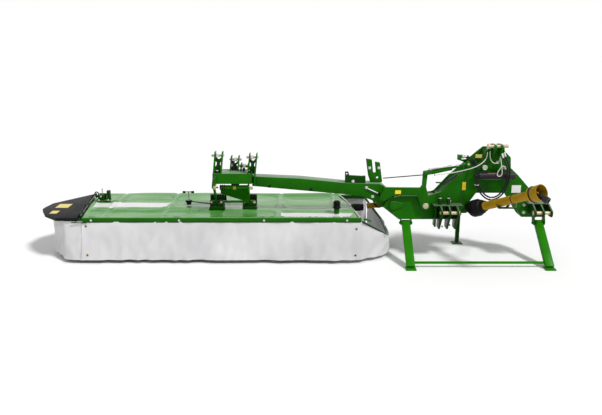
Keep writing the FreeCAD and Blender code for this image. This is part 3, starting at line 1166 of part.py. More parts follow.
def make_outer_shield():
    """The black outer shield with its three eyes, and the tube it hinges on."""
    inset = "shield_inset"
    plan = [(f"{hinge_across('bed_front + 4')} - {inset}", "bed_front + 4"),
            ("corner_left - 63", "bed_front + 2"), ("outer_end - 14", "outer_side_front - 169"),
            ("outer_end - 113", "outer_side_front + 25"),
            ("outer_end - 115", "outer_side_front + 95"),
            ("outer_end - 89", "outer_side_rear - 70"),
            ("outer_rear_across - 8", "outer_rear_row + 85"),
            (f"{hinge_across('outer_rear_row + 120')} - {inset}", "outer_rear_row + 120")]
    pieces = [plate("shield_shell", "XY", plan, "shield_base",
                    "shield_base + shield_thick", (), [(24, [1, 2, 3, 4, 5, 6])])]
    high = "shield_base + shield_thick"
    bores = []
    for number, row in enumerate(("bed_front + 150", "bed_beam_front + 160",
                                  "outer_rear_row + 20"), start=1):
        pieces.append(shield_strut(f"shield_eye_{number}", row, f"{row} + 50", "13"))
        across = hinge_across(f"{row} + 25")
        pieces.append(block(f"shield_lug_{number}", f"{across} - {inset} - 12",
                            f"{across} - 8", f"{row} + 4", f"{row} + 46",
                            f"{high} - 10", f"{high} + 4"))
        bores.append(shield_strut(f"shield_bore_{number}", f"{row} - 20", f"{row} + 70",
                                  "hinge_tube + fit_gap"))
    node("outer_shield", cut("shield_whole", fuse("shield_solid", pieces), bores))
    rows = ("bed_front + 90", "bed_beam_front + 60", "outer_rear_row + 100")
    pieces = [shield_strut("shield_hinge_tube", "bed_front + 76", "outer_rear_row + 110",
                           "hinge_tube")]
    seats = ("skirt_top + 1", "frame_top", "skirt_top + 1")
    for number, (row, seat) in enumerate(zip(rows, seats), start=1):
        across = hinge_across(row)
        pieces.append(block(f"shield_post_{number}", f"{across} - 6", f"{across} + 6",
                            f"{row} - 14", f"{row} + 14", seat, high))
    reach = hinge_across(rows[0])
    pieces.append(block("shield_step", f"{reach} - 12", "rail_left", f"{rows[0]} - 14",
                        f"{rows[0]} + 14", "skirt_top + 1", "frame_top"))
    across, row = hinge_across(rows[2]), rows[2]
    pieces.append(block("shield_outrigger", f"{across} - 8", f"{across} + 30",
                        f"{row} - 14", "bed_rear - 10 - tube_side", "skirt_top + 1",
                        "frame_top"))
    node("shield_hinge", fuse("shield_hinge_whole", pieces))
    lever = ("disc_first + 910", "bed_beam_front + 250")
    seat = f"{COVER_BASE} + cover_thick + fit_gap"
    stem = rod("lever_stem", "Z", (*lever, seat), "150", "7")
    grip = rod("lever_grip", "X", (f"{lever[0]} - 62", lever[1], f"{seat} + 143"), "124", "8")
    clamp = rod("lever_clamp", "Z", (*lever, seat), "62", "17")
    node("adjusting_lever", fuse("adjusting_lever_whole", [stem, grip, clamp]))


def make_cutter_bar():
    """The flat gear bar with its skids and the hubs of the discs."""
    section = [("bar_front", "bar_base + 22"), ("bar_front + 34", "bar_base"),
               ("bar_rear", "bar_base"), ("bar_rear", "bar_top - 12"),
               ("bar_rear - 40", "bar_top"), ("bar_front + 50", "bar_top"),
               ("bar_front", "bar_base + 40")]
    pieces = [plate("bar_body", "YZ", section, "bar_left", "bar_right")]
    shoe = [("skid_nose", "bar_base + 56"), ("skid_nose + 8", "bar_base + 62"),
            ("bar_front + 8", "bar_base + 2"), ("bar_rear - 20", "bar_base + 2"),
            ("bar_rear - 20", "bar_base - 10"), ("bar_front + 12", "bar_base - 10"),
            ("bar_front - 30", "bar_base - 2")]
    for number in range(DIMENSIONS["disc_count"]):
        middle = f"(disc_first + disc_pitch * {number})"
        pieces.append(plate(f"skid_{number + 1}", "YZ", shoe, f"{middle} - skid_wide / 2",
                            f"{middle} + skid_wide / 2"))
        pieces.append(rod(f"hub_{number + 1}", "Z", (middle, "disc_row", "bar_top - 2"),
                          "hub_top - bar_top + 2", "hub_radius"))
    node("cutter_bar", fuse("bar_whole", pieces))


def make_discs():
    """The oval discs with their domes and blades, each a quarter turn from the next."""
    last = DIMENSIONS["disc_count"] - 1
    for number in range(last + 1):
        middle = f"(disc_first + disc_pitch * {number})"
        long_side, wide_side = "disc_half_long", "disc_half_wide"
        if number % 2:
            long_side, wide_side = wide_side, long_side
        oval = [(f"{middle} - {long_side}", f"disc_row - {wide_side}"),
                (f"{middle} + {long_side}", f"disc_row - {wide_side}"),
                (f"{middle} + {long_side}", f"disc_row + {wide_side}"),
                (f"{middle} - {long_side}", f"disc_row + {wide_side}")]
        tag = number + 1
        pieces = [plate(f"disc_plate_{tag}", "XY", oval, "disc_base",
                        "disc_base + disc_thick", (),
                        [("disc_half_wide - 8", [0, 1, 2, 3])]),
                  rod(f"disc_boss_{tag}", "Z", (middle, "disc_row", "hub_top + fit_gap"),
                      "disc_base - hub_top - fit_gap + 2", "40")]
        dome = DOC.addObject("Part::Cone", f"disc_dome_{tag}")
        dome.setExpression("Radius1", bound("dome_radius"))
        dome.setExpression("Radius2", bound("dome_radius * 0.45"))
        dome.setExpression("Height", bound("dome_tall"))
        set_base(dome, (middle, "disc_row", "disc_base + disc_thick"))
        pieces.append(dome)
        if number in (0, last):
            pieces.append(rod(f"disc_drum_{tag}", "Z",
                              (middle, "disc_row", "disc_base + disc_thick"),
                              "drum_top - disc_base - disc_thick", "drum_radius"))
        for side, sign in (("one", -1), ("two", 1)):
            inner = f"({sign} * (disc_half_long - 62))"
            outer = f"({sign} * blade_tip)"
            near, far = (outer, inner) if sign < 0 else (inner, outer)
            base = "disc_base - blade_thick"
            if number % 2:
                blade = block(f"blade_{tag}_{side}", f"{middle} - blade_wide / 2",
                              f"{middle} + blade_wide / 2", f"disc_row + {near}",
                              f"disc_row + {far}", base, "disc_base")
            else:
                blade = block(f"blade_{tag}_{side}", f"{middle} + {near}",
                              f"{middle} + {far}", "disc_row - blade_wide / 2",
                              "disc_row + blade_wide / 2", base, "disc_base")
            pieces.append(blade)
        node(f"disc_{tag}", fuse(f"disc_whole_{tag}", pieces))


def make_bed_gearbox():
    """The gearbox over the innermost disc, with the boss of its input."""
    low = block("bevel_low", "bevel_left", "bevel_right + 10", "bed_beam_front - 10",
                "bevel_rear", "bevel_base", "bevel_top")
    slot = block("bevel_slot", "bevel_left - 10", "bed_beam_right + fit_gap",
                 "bed_beam_front - 20", "bed_beam_front + bed_beam_deep + fit_gap",
                 "frame_top - bed_beam_tall - fit_gap", "frame_top")
    high = block("bevel_high", "bevel_right", "input_right - 22", "drive_row - 66",
                 "drive_row + 80", "bevel_base + 10", "bevel_top + 4")
    boss = rod("bevel_boss", "X", ("input_right - 24", "drive_row", "input_height"),
               "24 - fit_gap", "boot_big")
    node("bed_gearbox", fuse("bevel_whole", [cut("bevel_case", low, [slot]), high, boss]))


def make_breather():
    """The breather that stands on the cover in front of the drive."""
    seat = f"{COVER_BASE} + cover_thick + fit_gap"
    neck = rod("breather_neck", "Z", ("breather_across", "breather_row", seat), "60", "22")
    cap = turned("breather_cap", [("0", "0"), ("0", "40"), ("16", "40"), ("22", "32"),
                                  ("70", "32"), ("78", "26"), ("78", "0")],
                 ("breather_across", "breather_row", f"{seat} + 55"), (0, 0, 1))
    node("breather", fuse("breather_whole", [neck, cap]))


def cord_wire(name, places):
    """The centre line of a cord: straight runs joined by tangent arcs."""
    points = [FreeCAD.Vector(*place) for place in places]
    edges, start = [], points[0]
    for before, bend, after in zip(points, points[1:], points[2:]):
        arrive, leave = before - bend, after - bend
        trim = BEND_SHARE * min(arrive.Length, leave.Length)
        half = (math.pi - arrive.getAngle(leave)) / 2
        radius = trim / math.tan(half)
        arrive.normalize()
        leave.normalize()
        middle = (arrive + leave).normalize()
        first, last = bend + arrive * trim, bend + leave * trim
        crown = bend + middle * (radius / math.cos(half) - radius)
        edges += [Part.LineSegment(start, first).toShape(),
                  Part.Arc(first, crown, last).toShape()]
        start = last
        print(f"{name}: bend of radius {radius:.0f}")
    edges.append(Part.LineSegment(start, points[-1]).toShape())
    return Part.Wire(edges)


def make_cords():
    """The hoses and ropes, each a round section swept along its centre line."""
    for name, (diameter, places) in CORDS.items():
        wire = cord_wire(name, places)
        towards = FreeCAD.Vector(*places[1]) - FreeCAD.Vector(*places[0])
        circle = Part.Circle(FreeCAD.Vector(*places[0]), towards, diameter / 2)
        section = Part.Wire([circle.toShape()])
        thing = DOC.addObject("Part::Feature", f"{name}_tube")
        thing.Shape = wire.makePipeShell([section], True, True)
        expected = math.pi * diameter ** 2 / 4 * wire.Length
        if abs(thing.Shape.Volume / expected - 1) > 0.01:
            raise RuntimeError(f"{name} is not the swept section")
        print(f"{name}: {wire.Length:.0f} long")
        node(name, thing)


def cord_fittings():
    """The hose blocks and rope hooks on the mast, each facing the end of its cord."""
    pieces = []
    for name in ("hose_one", "hose_two"):
        diameter, places = CORDS[name]
        start, end = FreeCAD.Vector(*places[0]), FreeCAD.Vector(*places[-1])
        pieces.append(rod(f"{name}_inlet", "X", (places[0][0] - 36, places[0][1], places[0][2]),
                          "36", f"{diameter} * 0.7"))
        back = (end - FreeCAD.Vector(*places[-2])).normalize() * 40
        pieces.append(strut(f"{name}_outlet", [*end], [*(end + back)], f"{diameter} * 0.7"))
        pieces.append(block(f"{name}_stand", f"{end.x + back.x} - 14",
                            f"{end.x + back.x} + 14", f"{end.y} + 4", "mast_front",
                            f"{end.z} + 22", f"{end.z} + 46"))
    low, high = CORDS["hose_one"][1][0], CORDS["hose_two"][1][0]
    pieces.append(block("hose_manifold", f"{low[0]} - 36", f"{low[0]} - 12",
                        f"{low[1]} - 14", "mast_front", f"{low[2]} - 12",
                        f"{high[2]} + 16"))
    tab = [(f"{low[0]} - 36", f"{low[2]} - 12"), (f"{low[0]} - 36", f"{high[2]} + 16"),
           ("anchor_across + 10", f"{high[2]} + 4"),
           ("anchor_across + 26", "anchor_height + 10"),
           ("anchor_across - 26", "anchor_height + 10")]
    pieces.append(plate("hose_tab", "XZ", tab, "mast_front", "mast_front + mast_plate"))
    hooks = [CORDS["rope_short"][1][0], CORDS["rope_short"][1][-1], CORDS["rope_long"][1][0]]
    for number, (across, row, height) in enumerate(hooks, start=1):
        pieces.append(rod(f"rope_stub_{number}", "Z", (across, row, height), "20", "7"))
        pieces.append(block(f"rope_hook_{number}", f"{across} - 7", f"{across} + 7",
                            f"{row} - 7", "mast_front", f"{height} + 12", f"{height} + 24"))
    return pieces


def export_nodes():
    """Check every object of the document, then write each sub-part to its file."""
    DOC.recompute()
    for thing in DOC.Objects:
        bad = [state for state in thing.State if state in ("Invalid", "Error")]
        if bad:
            raise RuntimeError(f"{thing.Name} failed: {thing.getStatusString()}")
    os.makedirs("parts", exist_ok=True)
    for name, thing in NODES.items():
        shape = thing.Shape
        if shape.isNull() or not shape.isValid() or not shape.Solids:
            raise RuntimeError(f"{name} has no valid shape")
        if thing.Label != name:
            raise RuntimeError(f"{name} carries the label {thing.Label}")
        shape.exportStep(f"parts/{name}.step")
    print(f"{len(NODES)} sub-parts written")


def main():
    """Build the whole machine and write it out."""
    write_sheet()
    for make in (make_beam, make_mast, make_top_link_pin, make_hitch_brackets,
                 make_gearbox, make_power_shaft, make_accumulator, make_stand,
                 make_rear_leg, make_boom, make_boom_fittings, make_lift_lever,
                 make_cylinder, make_drive_shaft, make_suspension, make_swing_arm,
                 make_side_link, make_bed_feet, make_bed_frame, make_skirts,
                 make_front_guard, make_top_cover, make_outer_shield, make_cutter_bar,
                 make_discs, make_bed_gearbox, make_breather, make_cords):
        make()
    export_nodes()


main()
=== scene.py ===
"""A rear-mounted disc mower on its parking stand, dressed for rendering around its CAD frame."""
import json
import logging
import math
import random
from dataclasses import dataclass
from enum import Enum
from itertools import cycle

import bpy
from mathutils import Euler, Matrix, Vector, noise


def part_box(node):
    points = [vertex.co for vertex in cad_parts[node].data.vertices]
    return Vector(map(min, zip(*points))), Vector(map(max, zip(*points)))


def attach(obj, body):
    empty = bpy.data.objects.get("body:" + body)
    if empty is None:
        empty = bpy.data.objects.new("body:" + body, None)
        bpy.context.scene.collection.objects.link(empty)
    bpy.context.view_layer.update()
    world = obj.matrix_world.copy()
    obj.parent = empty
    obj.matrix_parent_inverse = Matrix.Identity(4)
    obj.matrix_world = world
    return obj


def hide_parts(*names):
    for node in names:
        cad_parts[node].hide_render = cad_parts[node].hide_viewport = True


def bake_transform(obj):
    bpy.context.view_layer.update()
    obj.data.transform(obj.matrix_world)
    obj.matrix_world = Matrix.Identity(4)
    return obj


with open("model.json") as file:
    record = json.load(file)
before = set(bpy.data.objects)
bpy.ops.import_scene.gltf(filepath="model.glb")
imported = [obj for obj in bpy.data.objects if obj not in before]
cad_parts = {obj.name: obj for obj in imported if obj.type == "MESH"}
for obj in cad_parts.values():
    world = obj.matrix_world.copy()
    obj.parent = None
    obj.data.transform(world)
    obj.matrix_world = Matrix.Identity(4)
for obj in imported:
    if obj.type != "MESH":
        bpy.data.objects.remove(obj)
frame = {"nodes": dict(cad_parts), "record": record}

LOG = logging.getLogger("disc_mower")
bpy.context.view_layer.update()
SLOTS = {part["node"]: part["material_slot"] for part in frame["record"]["subparts"]}
BODY_OF = {node: body for body, nodes in frame["record"]["behaviour"]["bodies"].items()
           for node in nodes}
Pair = tuple[float, float]
Triple = tuple[float, float, float]
Spot = Vector | Triple
Thing = bpy.types.Object
Tree = bpy.types.NodeTree
Node = bpy.types.Node
Socket = bpy.types.NodeSocket
Values = dict[str | int, float | tuple[float, ...]]
Links = dict[str | int, Socket]
INWARD, OUTWARD = (-1.0, 0.0, 0.0), (1.0, 0.0, 0.0)
FORWARD, REARWARD = (0.0, -1.0, 0.0), (0.0, 1.0, 0.0)
UPWARD = (0.0, 0.0, 1.0)


def clamp(value: float, low: float = 0.0, high: float = 1.0) -> float:
    """Keep a number between two others.

    Args:
        value: The number.
        low: The least that it may be.
        high: The most that it may be.

    Returns:
        The number within the limits.
    """
    return max(low, min(high, value))


def corners_of(node: str) -> tuple[Triple, ...]:
    """Return the lowest and highest corner of a CAD node, to a tenth of a millimetre."""
    return tuple(tuple(round(value, 4) for value in corner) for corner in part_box(node))


def middle_of(node: str) -> Triple:
    """Return the middle of a CAD node."""
    return tuple((low + high) / 2 for low, high in zip(*corners_of(node)))


# ---------------------------------------------------------------- finishes


PATCH_EDGES = (0.38, 0.72)
# Colour of the painted highlight on upward faces, and the upward tilt over which it grows.
TOP_HIGHLIGHT_COLOUR = (0.52, 0.60, 0.50, 1.0)
TOP_HIGHLIGHT_SLOPE = {"From Min": 0.72, "From Max": 0.95}


def set_sockets(node: Node, values: Values) -> None:
    """Set the unlinked sockets of a shader node.

    Args:
        node: The node.
        values: The value of each socket.
    """
    for socket, value in values.items():
        node.inputs[socket].default_value = value


def add_node(tree: Tree, kind: str, values: Values | None = None, links: Links | None = None,
             **settings: str) -> Node:
    """Add a shader node, and set and link its sockets.

    Args:
        tree: The node tree.
        kind: The node's type, without its prefix.
        values: The value of each socket that is set.
        links: The output that feeds each socket that is linked.
        settings: The node's own settings.

    Returns:
        The node.
    """
    made = tree.nodes.new(f"ShaderNode{kind}")
    for setting, value in settings.items():
        setattr(made, setting, value)
    set_sockets(made, values or {})
    for socket, output in (links or {}).items():
        tree.links.new(output, made.inputs[socket])
    return made


def noise_node(tree: Tree, place: Node, scale: float, detail: float, rough: float) -> Socket:
    """Add a noise texture.

    Args:
        tree: The material's node tree.
        place: The mapping node that feeds it.
        scale: Patches per metre.
        detail: Octaves.
        rough: Weight of the finer octaves.

    Returns:
        The noise.
    """
    made = add_node(tree, "TexNoise", {"Scale": scale, "Detail": detail, "Roughness": rough},
                    {"Vector": place.outputs["Vector"]})
    return made.outputs["Fac"]


@dataclass(frozen=True)
class Finish:
    """A procedural finish: base colour, mottling, gloss, fine bump and a painted highlight on
    upward faces.

    Args:
        name: The finish's name.
        slot: The record's material slot that it belongs to.
        colour: Base colour, linear red, green and blue.
        shade: Colour that the mottling leans towards; on the cover it is a painted sheen, on the
            curtain a painted shadow.
        mottle: How far the mottling goes, from 0 to 1.
        mottle_scale: Patches per metre.
        detail: Octaves of the patches.
        metallic: 1 for bare metal.
        roughness: Middle roughness.
        spread: How far the roughness varies.
        specular: Strength of the gloss at right angles.
        grain: Depth of the fine bump in metres.
        grain_scale: Bumps per metre.
        streak: Stretch of the grain along X, Y and Z.
        top_highlight: How far a painted pale highlight, standing in for light from above, covers
            the faces that look up.
        through: Share of the light that passes through a thin sheet.
    """

    name: str
    slot: str
    colour: Triple
    shade: Triple
    mottle: float = 0.35
    mottle_scale: float = 6.0
    detail: float = 5.0
    metallic: float = 0.0
    roughness: float = 0.4
    spread: float = 0.12
    specular: float = 0.4
    grain: float = 0.0003
    grain_scale: float = 220.0
    streak: Triple = (1.0, 1.0, 1.0)
    top_highlight: float = 0.0
    through: float = 0.0

    def material(self) -> bpy.types.Material:
        """Return the finish's material, made on first use.

        Returns:
            The node material.
        """
        name = f"{self.name}_finish"
        made = bpy.data.materials.get(name)
        if made is None:
            made = bpy.data.materials.new(name)
            made.use_nodes = True
            self.wire(made.node_tree)
        return made

    def wire(self, tree: Tree) -> None:
        """Wire the finish's nodes.

        Args:
            tree: The material's node tree.
        """
        shader = tree.nodes["Principled BSDF"]
        set_sockets(shader, {"Metallic": self.metallic, "Specular IOR Level": self.specular})
        place = add_node(tree, "TexCoord")
        stretch = add_node(tree, "Mapping", {"Scale": self.streak},
                           {"Vector": place.outputs["Object"]})
        patches = noise_node(tree, stretch, self.mottle_scale, self.detail, 0.55)
        ramp = add_node(tree, "ValToRGB", links={"Fac": patches})
        stops = ramp.color_ramp.elements
        for stop, position, level in zip(stops, PATCH_EDGES, (0.0, self.mottle)):
            stop.position = position
            stop.color = (level, level, level, 1.0)
        mix = add_node(tree, "Mix", {6: (*self.colour, 1.0), 7: (*self.shade, 1.0)},
                       {0: ramp.outputs["Color"]}, data_type="RGBA")
        colour = mix.outputs[2]
        # Painted highlight: faces that look up are paled, as if lit from above.
        if self.top_highlight:
            colour = self.paint_top_highlight(tree, place, colour)
        tree.links.new(colour, shader.inputs["Base Color"])
        if self.through:
            self.let_through(tree, shader, colour)
        fine = noise_node(tree, stretch, self.mottle_scale * 4.0, 4.0, 0.6)
        rough = add_node(tree, "MapRange",
                         {"To Min": clamp(self.roughness - self.spread, 0.03),
                          "To Max": clamp(self.roughness + self.spread)}, {"Value": fine})
        tree.links.new(rough.outputs["Result"], shader.inputs["Roughness"])
        grain = noise_node(tree, stretch, self.grain_scale, 3.0, 0.5)
        bump = add_node(tree, "Bump", {"Distance": self.grain, "Strength": 0.6},
                        {"Height": grain})
        tree.links.new(bump.outputs["Normal"], shader.inputs["Normal"])

    def paint_top_highlight(self, tree: Tree, place: Node, colour: Socket) -> Socket:
        """Paint a pale highlight on the faces that look up, in place of light falling from
        above.

        Args:
            tree: The material's node tree.
            place: The texture coordinates.
            colour: The colour beneath the painted highlight.

        Returns:
            The colour with the painted highlight on it.
        """
        parts = add_node(tree, "SeparateXYZ", links={"Vector": place.outputs["Normal"]})
        reach = add_node(tree, "MapRange", {**TOP_HIGHLIGHT_SLOPE, "To Max": self.top_highlight},
                         {"Value": parts.outputs["Z"]})
        top_highlight = add_node(tree, "Mix", {7: TOP_HIGHLIGHT_COLOUR},
                        {0: reach.outputs["Result"], 6: colour}, data_type="RGBA")
        return top_highlight.outputs[2]

    def let_through(self, tree: Tree, shader: Node, colour: Socket) -> None:
        """Let part of the light pass through a thin sheet.

        Args:
            tree: The material's node tree.
            shader: The surface shader.
            colour: The sheet's colour.
        """
        thin = add_node(tree, "BsdfTranslucent", links={"Color": colour})
        both = add_node(tree, "MixShader", {"Fac": self.through},
                        {1: shader.outputs["BSDF"], 2: thin.outputs["BSDF"]})
        tree.links.new(both.outputs["Shader"], tree.nodes["Material Output"].inputs["Surface"])


# The greens below paint a pale highlight on their upward faces, in place of light from above.
GREEN = Finish("green_enamel", "green_paint", (0.010, 0.118, 0.001), (0.005, 0.062, 0.001),
               0.5, 5.0, roughness=0.30, specular=0.06, top_highlight=0.34)
DEEP_GREEN = Finish("deep_green_enamel", "dark_green_paint", (0.005, 0.050, 0.001),
                    (0.002, 0.022, 0.001), 0.5, roughness=0.32, specular=0.06, top_highlight=0.20)
CAST_GREEN = Finish("cast_green", "cast_housing", (0.008, 0.084, 0.001), (0.004, 0.044, 0.001),
                    0.5, 9.0, roughness=0.38, specular=0.06, top_highlight=0.16, grain=0.0012,
                    grain_scale=90.0)
LEG_GREEN = Finish("leg_green", "dark_green_paint", (0.017, 0.190, 0.001),
                   (0.010, 0.120, 0.001), 0.5, 5.0, roughness=0.32, specular=0.06)
STEEL = Finish("bare_steel", "galvanised_steel", (0.46, 0.45, 0.43), (0.26, 0.24, 0.21),
               0.5, 14.0, 1.0, 0.36)
PLATED = Finish("plated_pin", "plated_pins", (0.52, 0.44, 0.26), (0.30, 0.24, 0.14),
                0.5, 18.0, 1.0, 0.32)
ZINC = Finish("zinc_fitting", "galvanised_steel", (0.60, 0.60, 0.58), (0.38, 0.38, 0.36),
              0.45, 20.0, 0.9, 0.38)
BLACK_PLASTIC = Finish("black_plastic", "black_plastic", (0.006, 0.006, 0.006),
                       (0.014, 0.013, 0.013), 0.5, 8.0, roughness=0.5, specular=0.08,
                       grain=0.0005, grain_scale=420.0)
BLACK_ENAMEL = Finish("black_enamel", "black_paint", (0.010, 0.010, 0.011),
                      (0.024, 0.024, 0.024), 0.4, roughness=0.3, specular=0.25)
RUBBER = Finish("black_rubber", "black_rubber", (0.007, 0.007, 0.009), (0.018, 0.018, 0.019),
                0.6, 12.0, roughness=0.48, specular=0.15, grain=0.0006)
YELLOW = Finish("yellow_guard", "yellow_plastic", (0.37, 0.215, 0.003), (0.20, 0.110, 0.002),
                0.55, 9.0, roughness=0.32, specular=0.12, grain=0.0003)
PALE_STICKER = Finish("blank_sticker", "yellow_plastic", (0.74, 0.62, 0.16),
                      (0.62, 0.50, 0.12), 0.3, 12.0, roughness=0.4)
BRIGHT_STICKER = Finish("bright_sticker", "yellow_plastic", (0.86, 0.60, 0.010),
                        (0.74, 0.50, 0.008), 0.3, 12.0, roughness=0.4)
WHITE_STICKER = Finish("white_sticker", "yellow_plastic", (0.72, 0.73, 0.70),
                       (0.58, 0.59, 0.56), 0.3, 12.0, roughness=0.4)
# The curtain's darker mottled patches are painted soft shadows of its folds.
CURTAIN = Finish("pale_curtain", "curtain_fabric", (0.80, 0.79, 0.80), (0.58, 0.57, 0.58),
                 0.55, 2.0, detail=0.6, roughness=0.50, spread=0.08, specular=0.25,
                 through=0.25, grain=0.0004, grain_scale=500.0)
ROPE = Finish("white_rope", "white_rope", (0.66, 0.65, 0.60), (0.46, 0.45, 0.41), 0.6, 60.0,
              roughness=0.7, grain=0.0012, grain_scale=380.0)
# The cover's pale mottled bands, stretched along X, are a painted sheen where the fabric catches
# the light.
COVER = Finish("cover_fabric", "cover_fabric", (0.050, 0.240, 0.028), (0.210, 0.400, 0.170),
               0.75, 2.0, detail=0.8, roughness=0.24, specular=0.5, streak=(0.45, 1.7, 1.0),
               grain=0.0001, grain_scale=300.0)

CAD_FINISHES = {finish.slot: finish for finish in (
    GREEN, DEEP_GREEN, CAST_GREEN, STEEL, PLATED, BLACK_PLASTIC, BLACK_ENAMEL, RUBBER, YELLOW,
    CURTAIN, ROPE, COVER)}
CAD_FINISHES.update(bar_steel=DEEP_GREEN, disc_steel=CAST_GREEN, skirt_paint=GREEN,
                    black_hose=RUBBER)
REPAINTED = {"cylinder_rod": GREEN, "pto_yoke": BLACK_ENAMEL, "rear_leg": DEEP_GREEN,
             "parking_stand": LEG_GREEN}


def dress_frame() -> None:
    """Give every CAD node the finish of its material slot."""
    for name, thing in frame["nodes"].items():
        finish = CAD_FINISHES[SLOTS[name]].material()
        for place in thing.material_slots:
            place.material = finish
        if not thing.material_slots:
            thing.data.materials.append(finish)


# ---------------------------------------------------------------- workshop


SHARP = math.radians(38.0)
FLAT = math.radians(1.0)
WELD = 0.00004
# The sides, width, near end and far end of a washer, a head and a thread, by head radius.
BOLT_STEPS = ((20, 1.35, 0.0, 0.25), (6, 1.0, 0.25, 0.95), (14, 0.55, 0.95, 1.35))


def add_object(name: str, data: bpy.types.ID) -> Thing:
    """Put a new object into the scene.

    Args:
        name: Its name.
        data: Its mesh, curve, light or camera.

    Returns:
        The object.
    """
    thing = bpy.data.objects.new(name, data)
    bpy.context.collection.objects.link(thing)
    return thing


def activate(thing: Thing) -> None:
    """Make one object the only one selected, and active.

    Args:
        thing: The object.
    """
    bpy.ops.object.select_all(action="DESELECT")
    thing.select_set(True)
    bpy.context.view_layer.objects.active = thing


def apply_place(thing: Thing) -> None:
    """Move an object's place, turn and size into its mesh.

    Args:
        thing: The object.
    """
    activate(thing)
    bpy.ops.object.transform_apply(location=True, rotation=True, scale=True)


def facing(way: Spot) -> Euler:
    """Work out the turn that points an object's Z axis along a way.

    Args:
        way: The way.

    Returns:
        The turn.
    """
    return Vector(way).to_track_quat("Z", "Y").to_euler()


def modify(thing: Thing, kind: str, **settings: float | bool | str) -> None:
    """Add a modifier to a piece and apply it.

    Args:
        thing: The piece.
        kind: The modifier's type.
        settings: Its settings.
    """
    activate(thing)
    made = thing.modifiers.new(kind.lower(), kind)
    for setting, value in settings.items():
        setattr(made, setting, value)
    bpy.ops.object.modifier_apply(modifier=made.name)


def break_edges(thing: Thing, width: float, segments: int = 2) -> None:
    """Round the sharp edges of a piece and weight its normals.

    Args:
        thing: The piece.
        width: How wide the rounding is.
        segments: How many steps it has.
    """
    modify(thing, "BEVEL", width=width, segments=segments, limit_method="ANGLE",
           angle_limit=SHARP, use_clamp_overlap=True)
    modify(thing, "WEIGHTED_NORMAL", keep_sharp=True)


def thicken(sheet: Thing, depth: float) -> None:
    """Give a sheet its thickness."""
    modify(sheet, "SOLIDIFY", thickness=depth, offset=0.0)


def draw_line(name: str, points: tuple[Triple, ...], radius: float, steps: int) -> Thing:
    """Draw a round line as one open spline.

    Args:
        name: Its name.
        points: Its control points.
        radius: Its radius.
        steps: How round it is.

    Returns:
        The curve.
    """
    curve = bpy.data.curves.new(name, "CURVE")
    curve.dimensions = "3D"
    curve.bevel_depth = radius
    curve.bevel_resolution = steps
    curve.use_fill_caps = True
    line = curve.splines.new("NURBS")
    line.points.add(len(points) - 1)
    for place, spot in zip(line.points, points):
        place.co = (*spot, 1.0)
    line.order_u = 3
    line.use_endpoint_u = True
    return add_object(name, curve)


